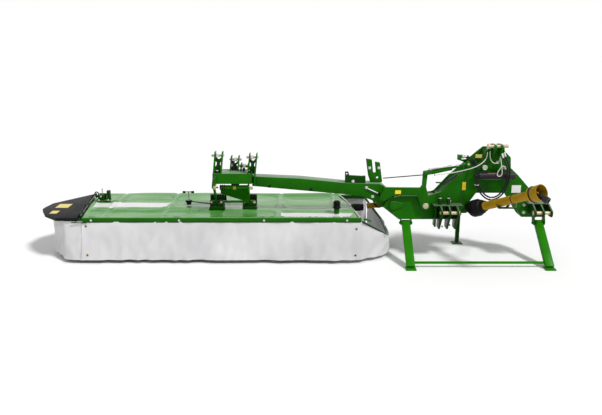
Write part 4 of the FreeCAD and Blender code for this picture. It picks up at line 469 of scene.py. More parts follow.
@dataclass(frozen=True)
class Bench:
    """The ways in which the pieces of one moving body are made.

    Every piece ends at the origin, unturned, with its place in its mesh.

    Args:
        body: The body that the pieces ride on.
    """

    body: str

    def settle(self, thing: Thing, name: str, finish: Finish, smooth: float = 35.0) -> Thing:
        """Name, smooth and finish a made piece, and let it ride on the body.

        Args:
            thing: The piece.
            name: Its name.
            finish: Its finish.
            smooth: Edges sharper than this many degrees stay crisp.

        Returns:
            The piece.
        """
        thing.name = name
        thing.data.name = name
        apply_place(thing)
        bpy.ops.object.shade_smooth_by_angle(angle=math.radians(smooth))
        thing.data.materials.clear()
        thing.data.materials.append(finish.material())
        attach(thing, self.body)
        LOG.info("%s rides on %s", name, self.body)
        return thing

    def bar(self, name: str, start: Spot, end: Spot, radius: float,
            finish: Finish, end_radius: float | None = None, sides: int = 28,
            chamfer: float = 0.0015) -> Thing:
        """Make a round bar or cone between two points, with broken edges.

        Args:
            name: The piece's name.
            start: The middle of its first end.
            end: The middle of its other end.
            radius: The radius at the start.
            finish: Its finish.
            end_radius: The radius at the end, if it differs.
            sides: How many sides the round has.
            chamfer: The width of the broken edges.

        Returns:
            The piece.
        """
        first, last = Vector(start), Vector(end)
        run = last - first
        bpy.ops.mesh.primitive_cone_add(
            vertices=sides, radius1=radius, radius2=radius if end_radius is None else end_radius,
            depth=run.length, location=(first + last) / 2, rotation=facing(run))
        thing = bpy.context.object
        break_edges(thing, min(chamfer, run.length * 0.2))
        return self.settle(thing, name, finish)

    def box(self, name: str, low: Triple, high: Triple, finish: Finish,
            chamfer: float = 0.002, segments: int = 2) -> Thing:
        """Make a block between two corners, with broken edges.

        Args:
            name: The piece's name.
            low: Its lowest corner.
            high: Its highest corner.
            finish: Its finish.
            chamfer: The width of the broken edges.
            segments: How round the broken edges are.

        Returns:
            The piece.
        """
        middle = [(a + b) / 2 for a, b in zip(low, high)]
        bpy.ops.mesh.primitive_cube_add(size=1.0, location=middle)
        thing = bpy.context.object
        thing.scale = [b - a for a, b in zip(low, high)]
        apply_place(thing)
        break_edges(thing, chamfer, segments)
        return self.settle(thing, name, finish)

    def ring(self, name: str, centre: Spot, axis: Spot, radius: float,
             thick: float, finish: Finish) -> Thing:
        """Make a round ring about an axis.

        Args:
            name: The piece's name.
            centre: Its middle.
            axis: The way that it faces.
            radius: From its middle to the middle of its wire.
            thick: The radius of its wire.
            finish: Its finish.

        Returns:
            The piece.
        """
        bpy.ops.mesh.primitive_torus_add(
            major_radius=radius, minor_radius=thick, major_segments=48, minor_segments=10,
            location=centre, rotation=facing(axis))
        return self.settle(bpy.context.object, name, finish, 60.0)

    def wire(self, name: str, points: tuple[Triple, ...], radius: float,
             finish: Finish) -> Thing:
        """Bend a stiff wire through some points.

        Args:
            name: The piece's name.
            points: The control points of its line.
            radius: Its radius.
            finish: Its finish.

        Returns:
            The piece.
        """
        activate(draw_line(name, points, radius, 4))
        bpy.ops.object.convert(target="MESH")
        return self.settle(bpy.context.object, name, finish, 60.0)

    def bolts(self, name: str, seats: list[Triple], ways: tuple[Triple, ...], size: float,
              finish: Finish) -> Thing:
        """Make a set of hexagon bolts, each with its washer, as one piece.

        Args:
            name: The piece's name.
            seats: The seat of each bolt.
            ways: The ways that the heads face, taken in turn.
            size: The radius of a head.
            finish: Their finish.

        Returns:
            The piece.
        """
        made = []
        for seat, way in zip(seats, cycle(ways)):
            out = Vector(way).normalized()
            for sides, wide, near, far in BOLT_STEPS:
                bpy.ops.mesh.primitive_cylinder_add(
                    vertices=sides, radius=wide * size, depth=(far - near) * size,
                    location=Vector(seat) + out * (near + far) / 2 * size,
                    rotation=facing(out))
                break_edges(bpy.context.object, size * 0.06, 1)
                made.append(bpy.context.object)
        bpy.ops.object.select_all(action="DESELECT")
        for thing in made:
            thing.select_set(True)
        bpy.context.view_layer.objects.active = made[0]
        bpy.ops.object.join()
        return self.settle(made[0], name, finish)

    def soften(self, node: str, width: float) -> None:
        """Stand a copy of a CAD node with broken edges in the node's place.

        Args:
            node: The CAD node.
            width: The width of the broken edges.
        """
        copy = add_object(f"{node}_dressed", frame["nodes"][node].data.copy())
        activate(copy)
        bpy.ops.object.mode_set(mode="EDIT")
        bpy.ops.mesh.select_all(action="SELECT")
        bpy.ops.mesh.remove_doubles(threshold=WELD)
        bpy.ops.mesh.dissolve_limited(angle_limit=FLAT)
        bpy.ops.object.mode_set(mode="OBJECT")
        break_edges(copy, width)
        finish = REPAINTED.get(node, CAD_FINISHES[SLOTS[node]])
        self.settle(copy, f"{node}_dressed", finish)
        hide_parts(node)


MAST = Bench("headstock")
BOOM = Bench("boom")
BED = Bench("mowing_bed")
GUARD = Bench("front_guard")
SHIELD = Bench("outer_guard")
LEVER = Bench("lift_lever")
BARREL = Bench("lift_barrel")


# ---------------------------------------------------------------- studio


@dataclass
class Studio:
    """The pale floor, the soft lamps and the camera."""

    eye: Triple = (0.10, -6.675, 2.31)
    pitch: float = 15.0
    lens: float = 39.47
    floor_half: float = 40.0
    floor_pale: float = 0.93
    dim: float = 0.45

    def build(self) -> None:
        """Make the floor, the light and the camera."""
        self.lay_floor()
        self.hang_lamp("key_lamp", (4.6, -4.2, 7.0), 9.0, 2.55)
        self.hang_lamp("fill_lamp", (-4.0, -5.0, 6.0), 30.0, 0.25)
        self.set_world()
        self.place_camera()

    def lay_floor(self) -> None:
        """Lay a plain pale floor that meets the backdrop without a line."""
        bpy.ops.mesh.primitive_plane_add(size=self.floor_half * 2)
        floor = bpy.context.object
        floor.name = "studio_floor"
        paint = bpy.data.materials.new("floor_paint")
        paint.use_nodes = True
        set_sockets(paint.node_tree.nodes["Principled BSDF"],
                    {"Base Color": (*[self.floor_pale] * 3, 1.0), "Roughness": 0.9,
                     "Specular IOR Level": 0.1})
        floor.data.materials.append(paint)

    def hang_lamp(self, name: str, place: Triple, spread: float, strength: float) -> None:
        """Hang one distant soft lamp that faces the middle of the machine.

        Args:
            name: The lamp's name.
            place: The side that its light comes from.
            spread: Its apparent width in degrees.
            strength: Its strength.
        """
        light = bpy.data.lights.new(name, "SUN")
        light.angle = math.radians(spread)
        light.energy = strength
        thing = add_object(name, light)
        thing.location = place
        thing.rotation_euler = (-Vector(place)).to_track_quat("-Z", "Y").to_euler()

    def set_world(self) -> None:
        """Light the scene evenly, with a white backdrop for the camera."""
        world = bpy.data.worlds.new("studio_world")
        bpy.context.scene.world = world
        world.use_nodes = True
        tree = world.node_tree
        ground = tree.nodes["Background"]
        set_sockets(ground, {"Color": (1.0, 1.0, 1.0, 1.0)})
        path = add_node(tree, "LightPath")
        either = add_node(tree, "Math", links={0: path.outputs["Is Camera Ray"],
                                               1: path.outputs["Is Glossy Ray"]},
                          operation="MAXIMUM")
        level = add_node(tree, "MapRange", {"To Min": self.dim, "To Max": 1.0},
                         {"Value": either.outputs["Value"]})
        tree.links.new(level.outputs["Result"], ground.inputs["Strength"])

    def place_camera(self) -> None:
        """Set the camera level in roll, looking down along +Y."""
        lens = bpy.data.cameras.new("studio_camera")
        lens.lens = self.lens
        lens.sensor_width = 36.0
        camera = add_object("studio_camera", lens)
        camera.location = self.eye
        camera.rotation_euler = Euler((math.radians(90.0 - self.pitch), 0.0, 0.0))
        bpy.context.scene.camera = camera
        bpy.context.scene.view_settings.view_transform = "Standard"


# ---------------------------------------------------------------- hoses and ropes


class FarEnd(Enum):
    """What a hose or rope ends in."""

    MACHINE = "object"
    KNOT = "knot"


class Stiffness(Enum):
    """How stiff a hose or rope is."""

    LIMP = "limp"
    MEDIUM = "medium"


@dataclass(frozen=True)
class Cord:
    """One hose or rope on the mast.

    Args:
        node: The CAD tube that it stands for.
        route: The control points of its line.
        size: Its diameter.
        length: Its length; not used.
        stiffness: How stiff it is; not used.
        far_end: What is on its far end; not used.
        finish: Its finish.
    """

    node: str
    route: tuple[Triple, ...]
    size: float
    length: float
    stiffness: Stiffness
    far_end: FarEnd
    finish: Finish

    def lay(self) -> None:
        """Lay the hose or rope along its route.
        """
        line = draw_line(f"{self.node}_line", self.route, self.size / 2, 5)
        line.data.resolution_u = 10
        line.data.materials.append(self.finish.material())
        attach(line, "headstock")
        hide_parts(self.node)
        LOG.info("%s laid", self.node)


@dataclass
class Lines:
    """The twin hoses and the white ropes on the mast, with their fittings and ties."""

    hose_one: tuple[Triple, ...] = (
        (1.732, -0.062, 1.052), (1.810, -0.062, 1.052), (1.864, -0.086, 1.004),
        (1.866, -0.128, 0.920), (1.868, -0.142, 0.830), (1.915, -0.145, 0.715),
        (2.020, -0.148, 0.628), (2.130, -0.150, 0.668), (2.190, -0.158, 0.780),
        (2.208, -0.165, 0.900), (2.200, -0.140, 1.000), (2.172, -0.100, 1.070),
        (2.156, -0.084, 1.120))
    hose_two: tuple[Triple, ...] = (
        (1.740, -0.062, 1.076), (1.806, -0.062, 1.076), (1.870, -0.092, 1.034),
        (1.888, -0.126, 0.950), (1.890, -0.150, 0.835), (1.936, -0.152, 0.725),
        (2.022, -0.154, 0.660), (2.110, -0.156, 0.684), (2.168, -0.164, 0.790),
        (2.184, -0.172, 0.900), (2.176, -0.147, 0.990), (2.148, -0.107, 1.058),
        (2.132, -0.091, 1.108))
    rope_short: tuple[Triple, ...] = (
        (2.016, -0.072, 1.130), (2.016, -0.072, 1.080), (2.032, -0.076, 1.030),
        (2.066, -0.080, 1.004), (2.104, -0.080, 1.012), (2.122, -0.076, 1.045),
        (2.122, -0.076, 1.080))
    rope_long: tuple[Triple, ...] = (
        (1.990, -0.072, 1.122), (1.990, -0.072, 1.075), (1.958, -0.105, 1.038),
        (1.905, -0.145, 1.008), (1.840, -0.150, 0.975), (1.750, -0.128, 0.945),
        (1.640, -0.120, 0.918), (1.540, -0.120, 0.904), (1.457, -0.120, 0.895))
    loop: tuple[Triple, ...] = (
        (2.122, -0.088, 1.066), (2.124, -0.112, 1.020), (2.126, -0.138, 0.985),
        (2.088, -0.138, 0.932), (2.082, -0.138, 0.898), (2.106, -0.138, 0.880),
        (2.134, -0.138, 0.898), (2.132, -0.140, 0.950), (2.122, -0.141, 0.992),
        (2.150, -0.141, 0.990), (2.178, -0.138, 0.968), (2.186, -0.138, 0.945))
    hose_size: float = 0.016
    rope_size: float = 0.009

    def build(self) -> None:
        """Lay the hoses and ropes, and their ties and couplings."""
        for node, route, length in (("hose_one", self.hose_one, 1.16),
                                    ("hose_two", self.hose_two, 1.10)):
            Cord(node, route, self.hose_size, length, Stiffness.MEDIUM, FarEnd.MACHINE,
                 RUBBER).lay()
        loop = MAST.wire("rope_loop", self.loop, self.rope_size / 2, ROPE)
        Cord("rope_short", self.rope_short, self.rope_size, 0.243, Stiffness.LIMP,
             FarEnd.MACHINE, ROPE).lay()
        knot = MAST.ring("rope_knot", self.rope_long[-1], (0.9, 0.2, 0.1),
                         self.rope_size * 0.75, self.rope_size * 0.62, ROPE)
        Cord("rope_long", self.rope_long, self.rope_size, 0.633, Stiffness.LIMP,
             FarEnd.KNOT, ROPE).lay()
        self.dress()

    def dress(self) -> None:
        """Put nuts and sleeves on the hose ends and white ties round the pair."""
        for name, route in (("one", self.hose_one), ("two", self.hose_two)):
            for end, near, far in (("start", route[0], route[1]),
                                   ("end", route[-1], route[-2])):
                base = Vector(near)
                run = (Vector(far) - base).normalized()
                MAST.bar(f"hose_{name}_{end}_nut", base - run * 0.004, base + run * 0.016,
                         0.0125, ZINC, sides=6)
                MAST.bar(f"hose_{name}_{end}_ferrule", base + run * 0.014, base + run * 0.046,
                         0.0102, ZINC, end_radius=0.0096)
        for number, middle, way in ((1, (2.03, -0.151, 0.651), (1.0, 0.0, -0.2)),
                                    (2, (1.882, -0.148, 0.80), (0.0, 0.0, 1.0))):
            MAST.ring(f"hose_tie_{number}", middle, way, 0.0225, 0.0026, ROPE)


# ---------------------------------------------------------------- bed: fabric


def grid_sheet(name: str, size: Pair, cells: tuple[int, int]) -> Thing:
    """Add a flat grid of a given size about the origin.

    Args:
        name: Its name.
        size: Its size along X and Y.
        cells: Its cells along X and Y.

    Returns:
        The grid.
    """
    bpy.ops.mesh.primitive_grid_add(x_subdivisions=cells[0], y_subdivisions=cells[1], size=1.0)
    thing = bpy.context.object
    thing.name = name
    thing.scale = (*size, 1.0)
    apply_place(thing)
    return thing


COVER_LOW, COVER_HIGH = corners_of("top_cover")


@dataclass
class TopCover:
    """The fabric cover that is stretched over the frame of the bed.

    Args:
        seat: Its height over the frame.
        front, rear, rear_left, front_right: The edges of its plan.
        front_left, rear_right, middle_right, middle_row: The corners of its slanting ends.
        cell: The size of its mesh.
        feet: The left and right ends of the openings for the feet.
        foot_rows: Their front and rear ends.
        tubes: The middles of the tubes beneath it.
        grip: How far from a tube's middle it is held.
        hem: How far from its front and rear edges it is held.
        middle_bar: Where the bar between the feet holds it.
        frames: The frames of the simulation.
        slack: The share by which it is longer than its frame.
        drift: The most that the simulation moves a point sideways.
        sag: The most that it moves one down and up.
        lift: The lowest and highest of the finished surface about its seat.
        ridge: The height and half width of the ridge over a tube.
        pulls: The depth of the long and the fine creases.
    """

    seat: float = COVER_LOW[2] + 0.0032
    front: float = COVER_LOW[1]
    rear: float = COVER_HIGH[1]
    rear_left: float = COVER_LOW[0]
    front_right: float = COVER_HIGH[0]
    front_left: float = -2.120
    rear_right: float = 0.520
    middle_right: float = 0.600
    middle_row: float = 0.515
    cell: float = 0.017
    feet: tuple[Pair, ...] = ((-0.877, -0.709), (-0.529, -0.361))
    foot_rows: Pair = (0.066, 0.206)
    tubes: tuple[float, ...] = tuple(-1.9346 + 0.602 * number for number in range(5))
    grip: float = 0.020
    hem: float = 0.035
    middle_bar: Pair = (0.06, 0.18)
    frames: int = 24
    slack: float = 0.022
    drift: float = 0.006
    sag: Pair = (-0.014, 0.010)
    lift: Pair = (-0.020, 0.017)
    ridge: Pair = (0.0022, 0.018)
    pulls: Pair = (0.0330, 0.0120)

    def build(self) -> None:
        """Cut, drape, crease and hang the cover."""
        sheet = self.cut()
        self.drape(sheet)
        self.crease(sheet)
        thicken(sheet, 0.0022)
        BED.settle(sheet, "cover_sheet", COVER, 60.0)
        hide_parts("top_cover")

    def cut(self) -> Thing:
        """Cut the sheet to its plan, with the two openings for the feet.

        Returns:
            The flat sheet in its place.
        """
        wide, deep = self.front_right - self.rear_left, self.rear - self.front
        sheet = grid_sheet("cover_cut", (wide, deep),
                           (round(wide / self.cell), round(deep / self.cell)))
        sheet.location = ((self.front_right + self.rear_left) / 2,
                          (self.rear + self.front) / 2, self.seat)
        apply_place(sheet)
        bpy.ops.object.mode_set(mode="EDIT")
        for start, end, outer in (
                ((self.front_left, self.front), (self.rear_left, self.rear), False),
                ((self.front_right, self.front), (self.middle_right, self.middle_row), True),
                ((self.middle_right, self.middle_row), (self.rear_right, self.rear), True)):
            normal = Vector((start[1] - end[1], end[0] - start[0], 0.0)).normalized()
            if (normal.x > 0) != outer:
                normal = -normal
            bpy.ops.mesh.select_all(action="SELECT")
            bpy.ops.mesh.bisect(plane_co=(*start, self.seat), plane_no=normal,
                                clear_outer=True)
        bpy.ops.mesh.select_all(action="DESELECT")
        bpy.ops.object.mode_set(mode="OBJECT")
        for face in sheet.data.polygons:
            spot = face.center
            inside = any(low < spot.x < high for low, high in self.feet)
            face.select = inside and self.foot_rows[0] < spot.y < self.foot_rows[1]
        bpy.ops.object.mode_set(mode="EDIT")
        bpy.ops.mesh.delete(type="FACE")
        bpy.ops.object.mode_set(mode="OBJECT")
        return sheet

    def rests(self, spot: Vector) -> bool:
        """Tell whether the frame or the feet hold a point of the sheet.

        Args:
            spot: The point.

        Returns:
            True where it is held.
        """
        on_tube = min(abs(spot.x - tube) for tube in self.tubes) < self.grip
        on_hem = not self.front + self.hem <= spot.y <= self.rear - self.hem
        on_bar = self.middle_bar[0] < spot.y < self.middle_bar[1]
        slope = (self.rear_left - self.front_left) / (self.rear - self.front)
        edge = self.front_left + slope * (spot.y - self.front)
        return on_tube or on_hem or on_bar or spot.x < edge + self.grip

    def drape(self, sheet: Thing) -> None:
        """Let the slack of the sheet settle between the tubes by simulation.

        Args:
            sheet: The flat sheet.
        """
        pins = sheet.vertex_groups.new(name="held")
        held = [vertex.index for vertex in sheet.data.vertices if self.rests(vertex.co)]
        pins.add(held, 1.0, "REPLACE")
        flat = [vertex.co.copy() for vertex in sheet.data.vertices]
        rng = random.Random(11)
        shift = Vector((rng.random() * 7.0, rng.random() * 7.0, 0.0))
        for vertex in sheet.data.vertices:
            if not self.rests(vertex.co):
                vertex.co.z += 0.0012 * noise.noise(vertex.co * 9.0 + shift)
        activate(sheet)
        cloth = sheet.modifiers.new("cloth", "CLOTH")
        for setting, value in (("quality", 6), ("mass", 0.5), ("tension_stiffness", 25.0),
                               ("compression_stiffness", 25.0), ("bending_stiffness", 0.9),
                               ("shrink_min", -self.slack), ("shrink_max", -self.slack),
                               ("vertex_group_mass", pins.name)):
            setattr(cloth.settings, setting, value)
        cloth.settings.effector_weights.gravity = 0.25
        cloth.collision_settings.use_collision = False
        cloth.point_cache.frame_start = 1
        cloth.point_cache.frame_end = self.frames
        for number in range(1, self.frames + 1):
            bpy.context.scene.frame_set(number)
        bpy.ops.object.modifier_apply(modifier=cloth.name)
        bpy.context.scene.frame_set(1)
        for vertex, start in zip(sheet.data.vertices, flat):
            move = vertex.co - start
            vertex.co = start + Vector((clamp(move.x, -self.drift, self.drift),
                                        clamp(move.y, -self.drift, self.drift),
                                        clamp(move.z, *self.sag)))
        sheet.vertex_groups.clear()

    def crease(self, sheet: Thing) -> None:
        """Add the ridges over the tubes and the long pulled creases of the fabric.

        Args:
            sheet: The sheet.
        """
        for vertex in sheet.data.vertices:
            spot = vertex.co.copy()
            near = min(abs(spot.x - tube) for tube in self.tubes)
            ridge = math.exp(-(near / self.ridge[1]) ** 2)
            pulled = 0.4 - abs(noise.noise(Vector((spot.x * 0.9 + spot.y * 1.3,
                                                    spot.y * 3.2, 4.2))))
            fine = 0.4 - abs(noise.noise(Vector((spot.x * 2.1 - spot.y * 2.4,
                                                  spot.y * 6.5, 9.4))))
            edge = min(1.0, (spot.y - self.front) / 0.05)
            creases = self.pulls[0] * pulled + self.pulls[1] * fine
            raised = vertex.co.z + self.ridge[0] * ridge + edge * (1.0 - ridge) * creases
            vertex.co.z = clamp(raised, self.seat + self.lift[0], self.seat + self.lift[1])


@dataclass
class Curtain:
    """A fabric curtain along a line of posts, pleated a little towards its hem.

    Args:
        name: Its name.
        node: The CAD node that it stands for.
        bench: The body that it hangs on.
        route: The corners of its line, seen from above.
        tops: The height of its upper edge at each corner.
        seed: Where its pleats are taken from the noise.
        base: The height of its hem.
        ripple: How deep its pleats are.
        waves: How close they are.
        flare: How far its first end stands out at the hem.
        cell: The size of its mesh.
        corner: How far from a corner its pleats are held.
        seam: The height of the sewn line above its hem.
    """

    name: str
    node: str
    bench: Bench
    route: tuple[Pair, ...]
    tops: tuple[float, ...]
    seed: float
    base: float = 0.041
    ripple: float = 0.004
    waves: float = 3.6
    flare: float = 0.0
    cell: float = 0.02
    corner: float = 0.05
    seam: float = 0.030

    def build(self) -> None:
        """Hang the curtain."""
        runs = [math.dist(a, b) for a, b in zip(self.route, self.route[1:])]
        length, tall = sum(runs), max(self.tops) - self.base
        sheet = grid_sheet(self.name, (length, tall), (round(length / self.cell),
                                                       max(8, round(tall / self.cell))))
        for vertex in sheet.data.vertices:
            along = (vertex.co.x + length / 2) / length
            up = (vertex.co.y + tall / 2) / tall
            vertex.co = self.place(along * length, up, runs)
        thicken(sheet, 0.0026)
        self.bench.settle(sheet, f"{self.name}_sheet", CURTAIN, 60.0)
        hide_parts(self.node)

    def place(self, along: float, up: float, runs: list[float]) -> Vector:
        """Work out where a point of the curtain hangs.

        Args:
            along: Its distance along the route.
            up: Its height as a share of the curtain's.
            runs: The lengths of the route's runs.

        Returns:
            The point.
        """
        left, number = along, 0
        while number < len(runs) - 1 and left > runs[number]:
            left -= runs[number]
            number += 1
        run = runs[number]
        start, end = Vector(self.route[number]), Vector(self.route[number + 1])
        share = clamp(left / run)
        flow = (end - start).to_3d().normalized()
        out = Vector((flow.y, -flow.x, 0.0))
        ease = 0.35 + 0.65 * min(1.0, min(left, run - left) / self.corner)
        top = self.tops[number] + (self.tops[number + 1] - self.tops[number]) * share
        height = self.base + (top - self.base) * up
        sway = noise.noise(Vector((along * self.waves * 0.6 + up * 0.8, up * 0.9, self.seed)))
        lean = along * self.waves * 1.5 - up * 1.7
        crease = 0.4 - abs(noise.noise(Vector((lean, up * 1.1 + along * 0.4,
                                               self.seed + 5.3))))
        fine = noise.noise(Vector((along * self.waves * 4.0, up * 3.0, self.seed + 9.7)))
        loose = max(0.0, 1.0 - up) ** 0.8
        held = 0.35 + 0.65 * loose
        move = ease * self.ripple * (0.9 * sway * loose + held * (1.2 * crease + 0.4 * fine))
        seam = 0.0016 * math.exp(-((height - self.base - self.seam) / 0.004) ** 2)
        spread = self.flare * (1.0 - up) * max(0.0, 1.0 - along / 0.3)
        spot = start.to_3d() + flow * (run * share - spread) + out * 0.35 * spread
        return Vector((spot.x, spot.y, height)) + out * (move - seam)


CURTAINS = (
    Curtain("front_curtain", "front_curtain", GUARD, ((-2.112, -0.280), (0.714, -0.280)),
            (0.449, 0.449), 1.0, ripple=0.030, flare=0.032),
    Curtain("rear_curtain", "rear_curtain", BED, ((0.866, 0.824), (-2.236, 0.824)),
            (0.455, 0.455), 2.0, cell=0.03),
    Curtain("outer_skirt", "outer_end_skirt", BED,
            ((-2.252, 0.827), (-2.292, 0.639), (-2.517, 0.379), (-2.517, 0.036),
             (-2.308, -0.252), (-2.098, -0.270)), (0.447,) * 6, 3.0, ripple=0.036, waves=4.4),
    Curtain("inner_skirt", "inner_end_skirt", BED,
            ((0.702, -0.272), (0.955, -0.139), (1.027, -0.030), (1.027, 0.559),
             (0.878, 0.828)), (0.447, 0.289, 0.241, 0.241, 0.339), 4.0, ripple=0.032,
            waves=3.8),
)


# ---------------------------------------------------------------- bed: details


@dataclass
class CurtainDetails:
    """The eyelets, bolts, strip and stays of the curtains."""

    row: float = -0.2815
    eyelets: tuple[Pair, ...] = ((0.661, 0.372), (0.657, 0.090), (-2.082, 0.095),
                                 (-2.075, 0.400))
    bolts: tuple[float, ...] = (-2.017, -1.130, -0.273, 0.564)

    def build(self) -> None:
        """Set the brass eyelets, the bolts and the dark stays at the inner corner."""
        curtain = bpy.data.objects["front_curtain_sheet"]
        for number, (across, height) in enumerate(self.eyelets, 1):
            found, spot, _, _ = curtain.ray_cast(Vector((across, -1.0, height)),
                                                 Vector((0.0, 1.0, 0.0)))
            row = spot.y if found else self.row
            GUARD.ring(f"grommet_{number}", (across, row - 0.001, height), REARWARD, 0.0115,
                       0.0034, PLATED)
            GUARD.bar(f"grommet_eye_{number}", (across, row - 0.0012, height),
                      (across, row + 0.004, height), 0.0095, BLACK_PLASTIC, sides=20,
                      chamfer=0.0003)
        GUARD.bolts("rail_bolts", [(across, -0.2855, 0.462) for across in self.bolts],
                    (FORWARD,), 0.0085, ZINC)
        GUARD.box("rail_strip", (-2.100, -0.2868, 0.4395), (0.705, self.row, 0.4505),
                  DEEP_GREEN, 0.0012)
        for name, start, end, wide, end_wide, finish in (
                ("low", (0.722, -0.281, 0.446), (1.010, -0.106, 0.252), 0.010, 0.0045,
                 DEEP_GREEN),
                ("high", (0.742, -0.246, 0.468), (0.812, -0.226, 0.438), 0.011, 0.008, GREEN)):
            stay = BED.bar(f"inner_stay_{name}", start, end, wide, finish,
                           end_radius=end_wide, sides=16)


@dataclass
class BedDetails:
    """Blank stickers, stripes, clamps and small steel on the bed and its covers."""

    cover_top: float = COVER_HIGH[2] + 0.0012
    boot_folds: int = 6
    breather_ribs: int = 3

    def build(self) -> None:
        """Dress the cover, the outer shield, the lever, the boot and the breather."""
        self.lay_stripe("stripe_left", (-2.138, 0.165), (-1.390, 0.405), (-0.032, 0.058))
        self.lay_stripe("stripe_right", (-0.105, -0.165), (0.585, -0.020), (-0.004, 0.060))
        for name, low, high in (("one", (-2.520, 0.120), (-2.385, 0.275)),
                                ("two", (-2.500, -0.110), (-2.425, -0.005))):
            SHIELD.box(f"shield_sticker_{name}", (*low, 0.4850), (*high, 0.4880),
                       PALE_STICKER, 0.0006, 1)
        corners = ((0.523, 0.812), (0.600, 0.515), (0.700, -0.190))
        for number, (start, end) in enumerate(zip(corners, corners[1:]), 1):
            BED.bar(f"cover_binding_{number}", (*start, 0.4715), (*end, 0.4715), 0.0055,
                    WHITE_STICKER, sides=12)
        self.dress_lever()
        self.dress_latch()
        self.dress_boot()
        self.dress_breather()

    def lay_stripe(self, name: str, near: Pair, far: Pair, slants: Pair) -> None:
        """Lay a plain stripe with slanting ends on the cover.

        Args:
            name: Its name.
            near: Its front left corner.
            far: Where its front edge ends to the right, and its rear edge.
            slants: How far its left and right ends lean.
        """
        bpy.ops.mesh.primitive_grid_add(x_subdivisions=70, y_subdivisions=14, size=1.0)
        thing = bpy.context.object
        cover = bpy.data.objects["cover_sheet"]
        for vertex in thing.data.vertices:
            up, along = vertex.co.y + 0.5, vertex.co.x + 0.5
            start, end = near[0] + slants[0] * up, far[0] + slants[1] * up
            above = Vector((start + (end - start) * along,
                            near[1] + (far[1] - near[1]) * up, 0.6))
            found, spot, _, _ = cover.ray_cast(above, Vector((0.0, 0.0, -1.0)))
            above.z = spot.z + 0.0014 if found else self.cover_top
            vertex.co = above
        thicken(thing, 0.0010)
        BED.settle(thing, name, WHITE_STICKER, 60.0)

    def dress_lever(self) -> None:
        """Put the clamp, the collar and the grips on the adjusting lever."""
        across, row, _ = middle_of("adjusting_lever")
        BED.bar("lever_collar", (across, row, 0.474), (across, row, 0.500), 0.026,
                BLACK_PLASTIC, chamfer=0.003)
        BED.box("lever_clamp", (across - 0.033, row - 0.024, 0.500),
                (across + 0.033, row + 0.024, 0.520), BLACK_PLASTIC, 0.004)
        for name, shift in (("outer", -0.047), ("inner", 0.047)):
            BED.bar(f"lever_grip_{name}", (across + shift - 0.016, row, 0.612),
                    (across + shift + 0.014, row, 0.612), 0.0125, BLACK_PLASTIC, chamfer=0.003)
        BED.bar("lever_rod", (across + 0.027, row, 0.508), (-0.880, 0.240, 0.500), 0.006,
                BLACK_ENAMEL)

    def dress_latch(self) -> None:
        """Set the transport latch that stands at the outer end of the cover."""
        BED.box("latch_plate", (-2.195, 0.440, 0.4725), (-2.035, 0.540, 0.482), DEEP_GREEN)
        for name, row in (("front", 0.452), ("rear", 0.520)):
            BED.box(f"latch_cheek_{name}", (-2.160, row, 0.480), (-2.085, row + 0.008, 0.548),
                    DEEP_GREEN, 0.003)
        BED.box("latch_lump", (-2.066, 0.462, 0.480), (-2.030, 0.515, 0.590), DEEP_GREEN,
                0.008, 3)
        for name, start, end, radius, finish, end_radius in (
                ("post", (-2.118, 0.490, 0.480), (-2.118, 0.490, 0.612), 0.006, STEEL, None),
                ("pin", (-2.124, 0.430, 0.530), (-2.124, 0.545, 0.530), 0.010, PLATED, None),
                ("hook", (-2.185, 0.485, 0.520), (-2.070, 0.485, 0.545), 0.013, DEEP_GREEN,
                 0.009)):
            BED.bar(f"latch_{name}", start, end, radius, finish, end_radius=end_radius)
        BED.ring("latch_loop", (-2.176, 0.470, 0.552), (0.2, 1.0, 0.0), 0.022, 0.0065,
                 DEEP_GREEN)
        BED.bolts("latch_bolts", [(-2.150, 0.450, 0.482), (-2.048, 0.450, 0.482)],
                  (UPWARD,), 0.010, ZINC)
        BED.bar("outer_strip", (-2.215, -0.290, 0.4400), (-2.060, -0.292, 0.4400), 0.0055,
                DEEP_GREEN, sides=10)

    def dress_boot(self) -> None:
        """Put the rings on the rubber boot of the drive."""
        _, row, height = middle_of("drive_boot")
        start = corners_of("drive_boot")[0][0] + 0.012
        for number in range(self.boot_folds):
            share = number / (self.boot_folds - 1)
            BED.ring(f"boot_fold_{number + 1}", (start + 0.088 * share, row, height),
                     OUTWARD, 0.0400 - 0.0045 * share, 0.0045, RUBBER)

    def dress_breather(self) -> None:
        """Put the sleeve and the ribbed cap on the breather post."""
        post = middle_of("breather")[:2]
        BED.bar("breather_sleeve", (*post, 0.474), (*post, 0.534), 0.0285, GREEN,
                chamfer=0.004)
        for number in range(self.breather_ribs):
            BED.ring(f"breather_rib_{number + 1}", (*post, 0.560 + 0.015 * number), UPWARD,
                     0.0375, 0.0022, BLACK_PLASTIC)


# ---------------------------------------------------------------- boom


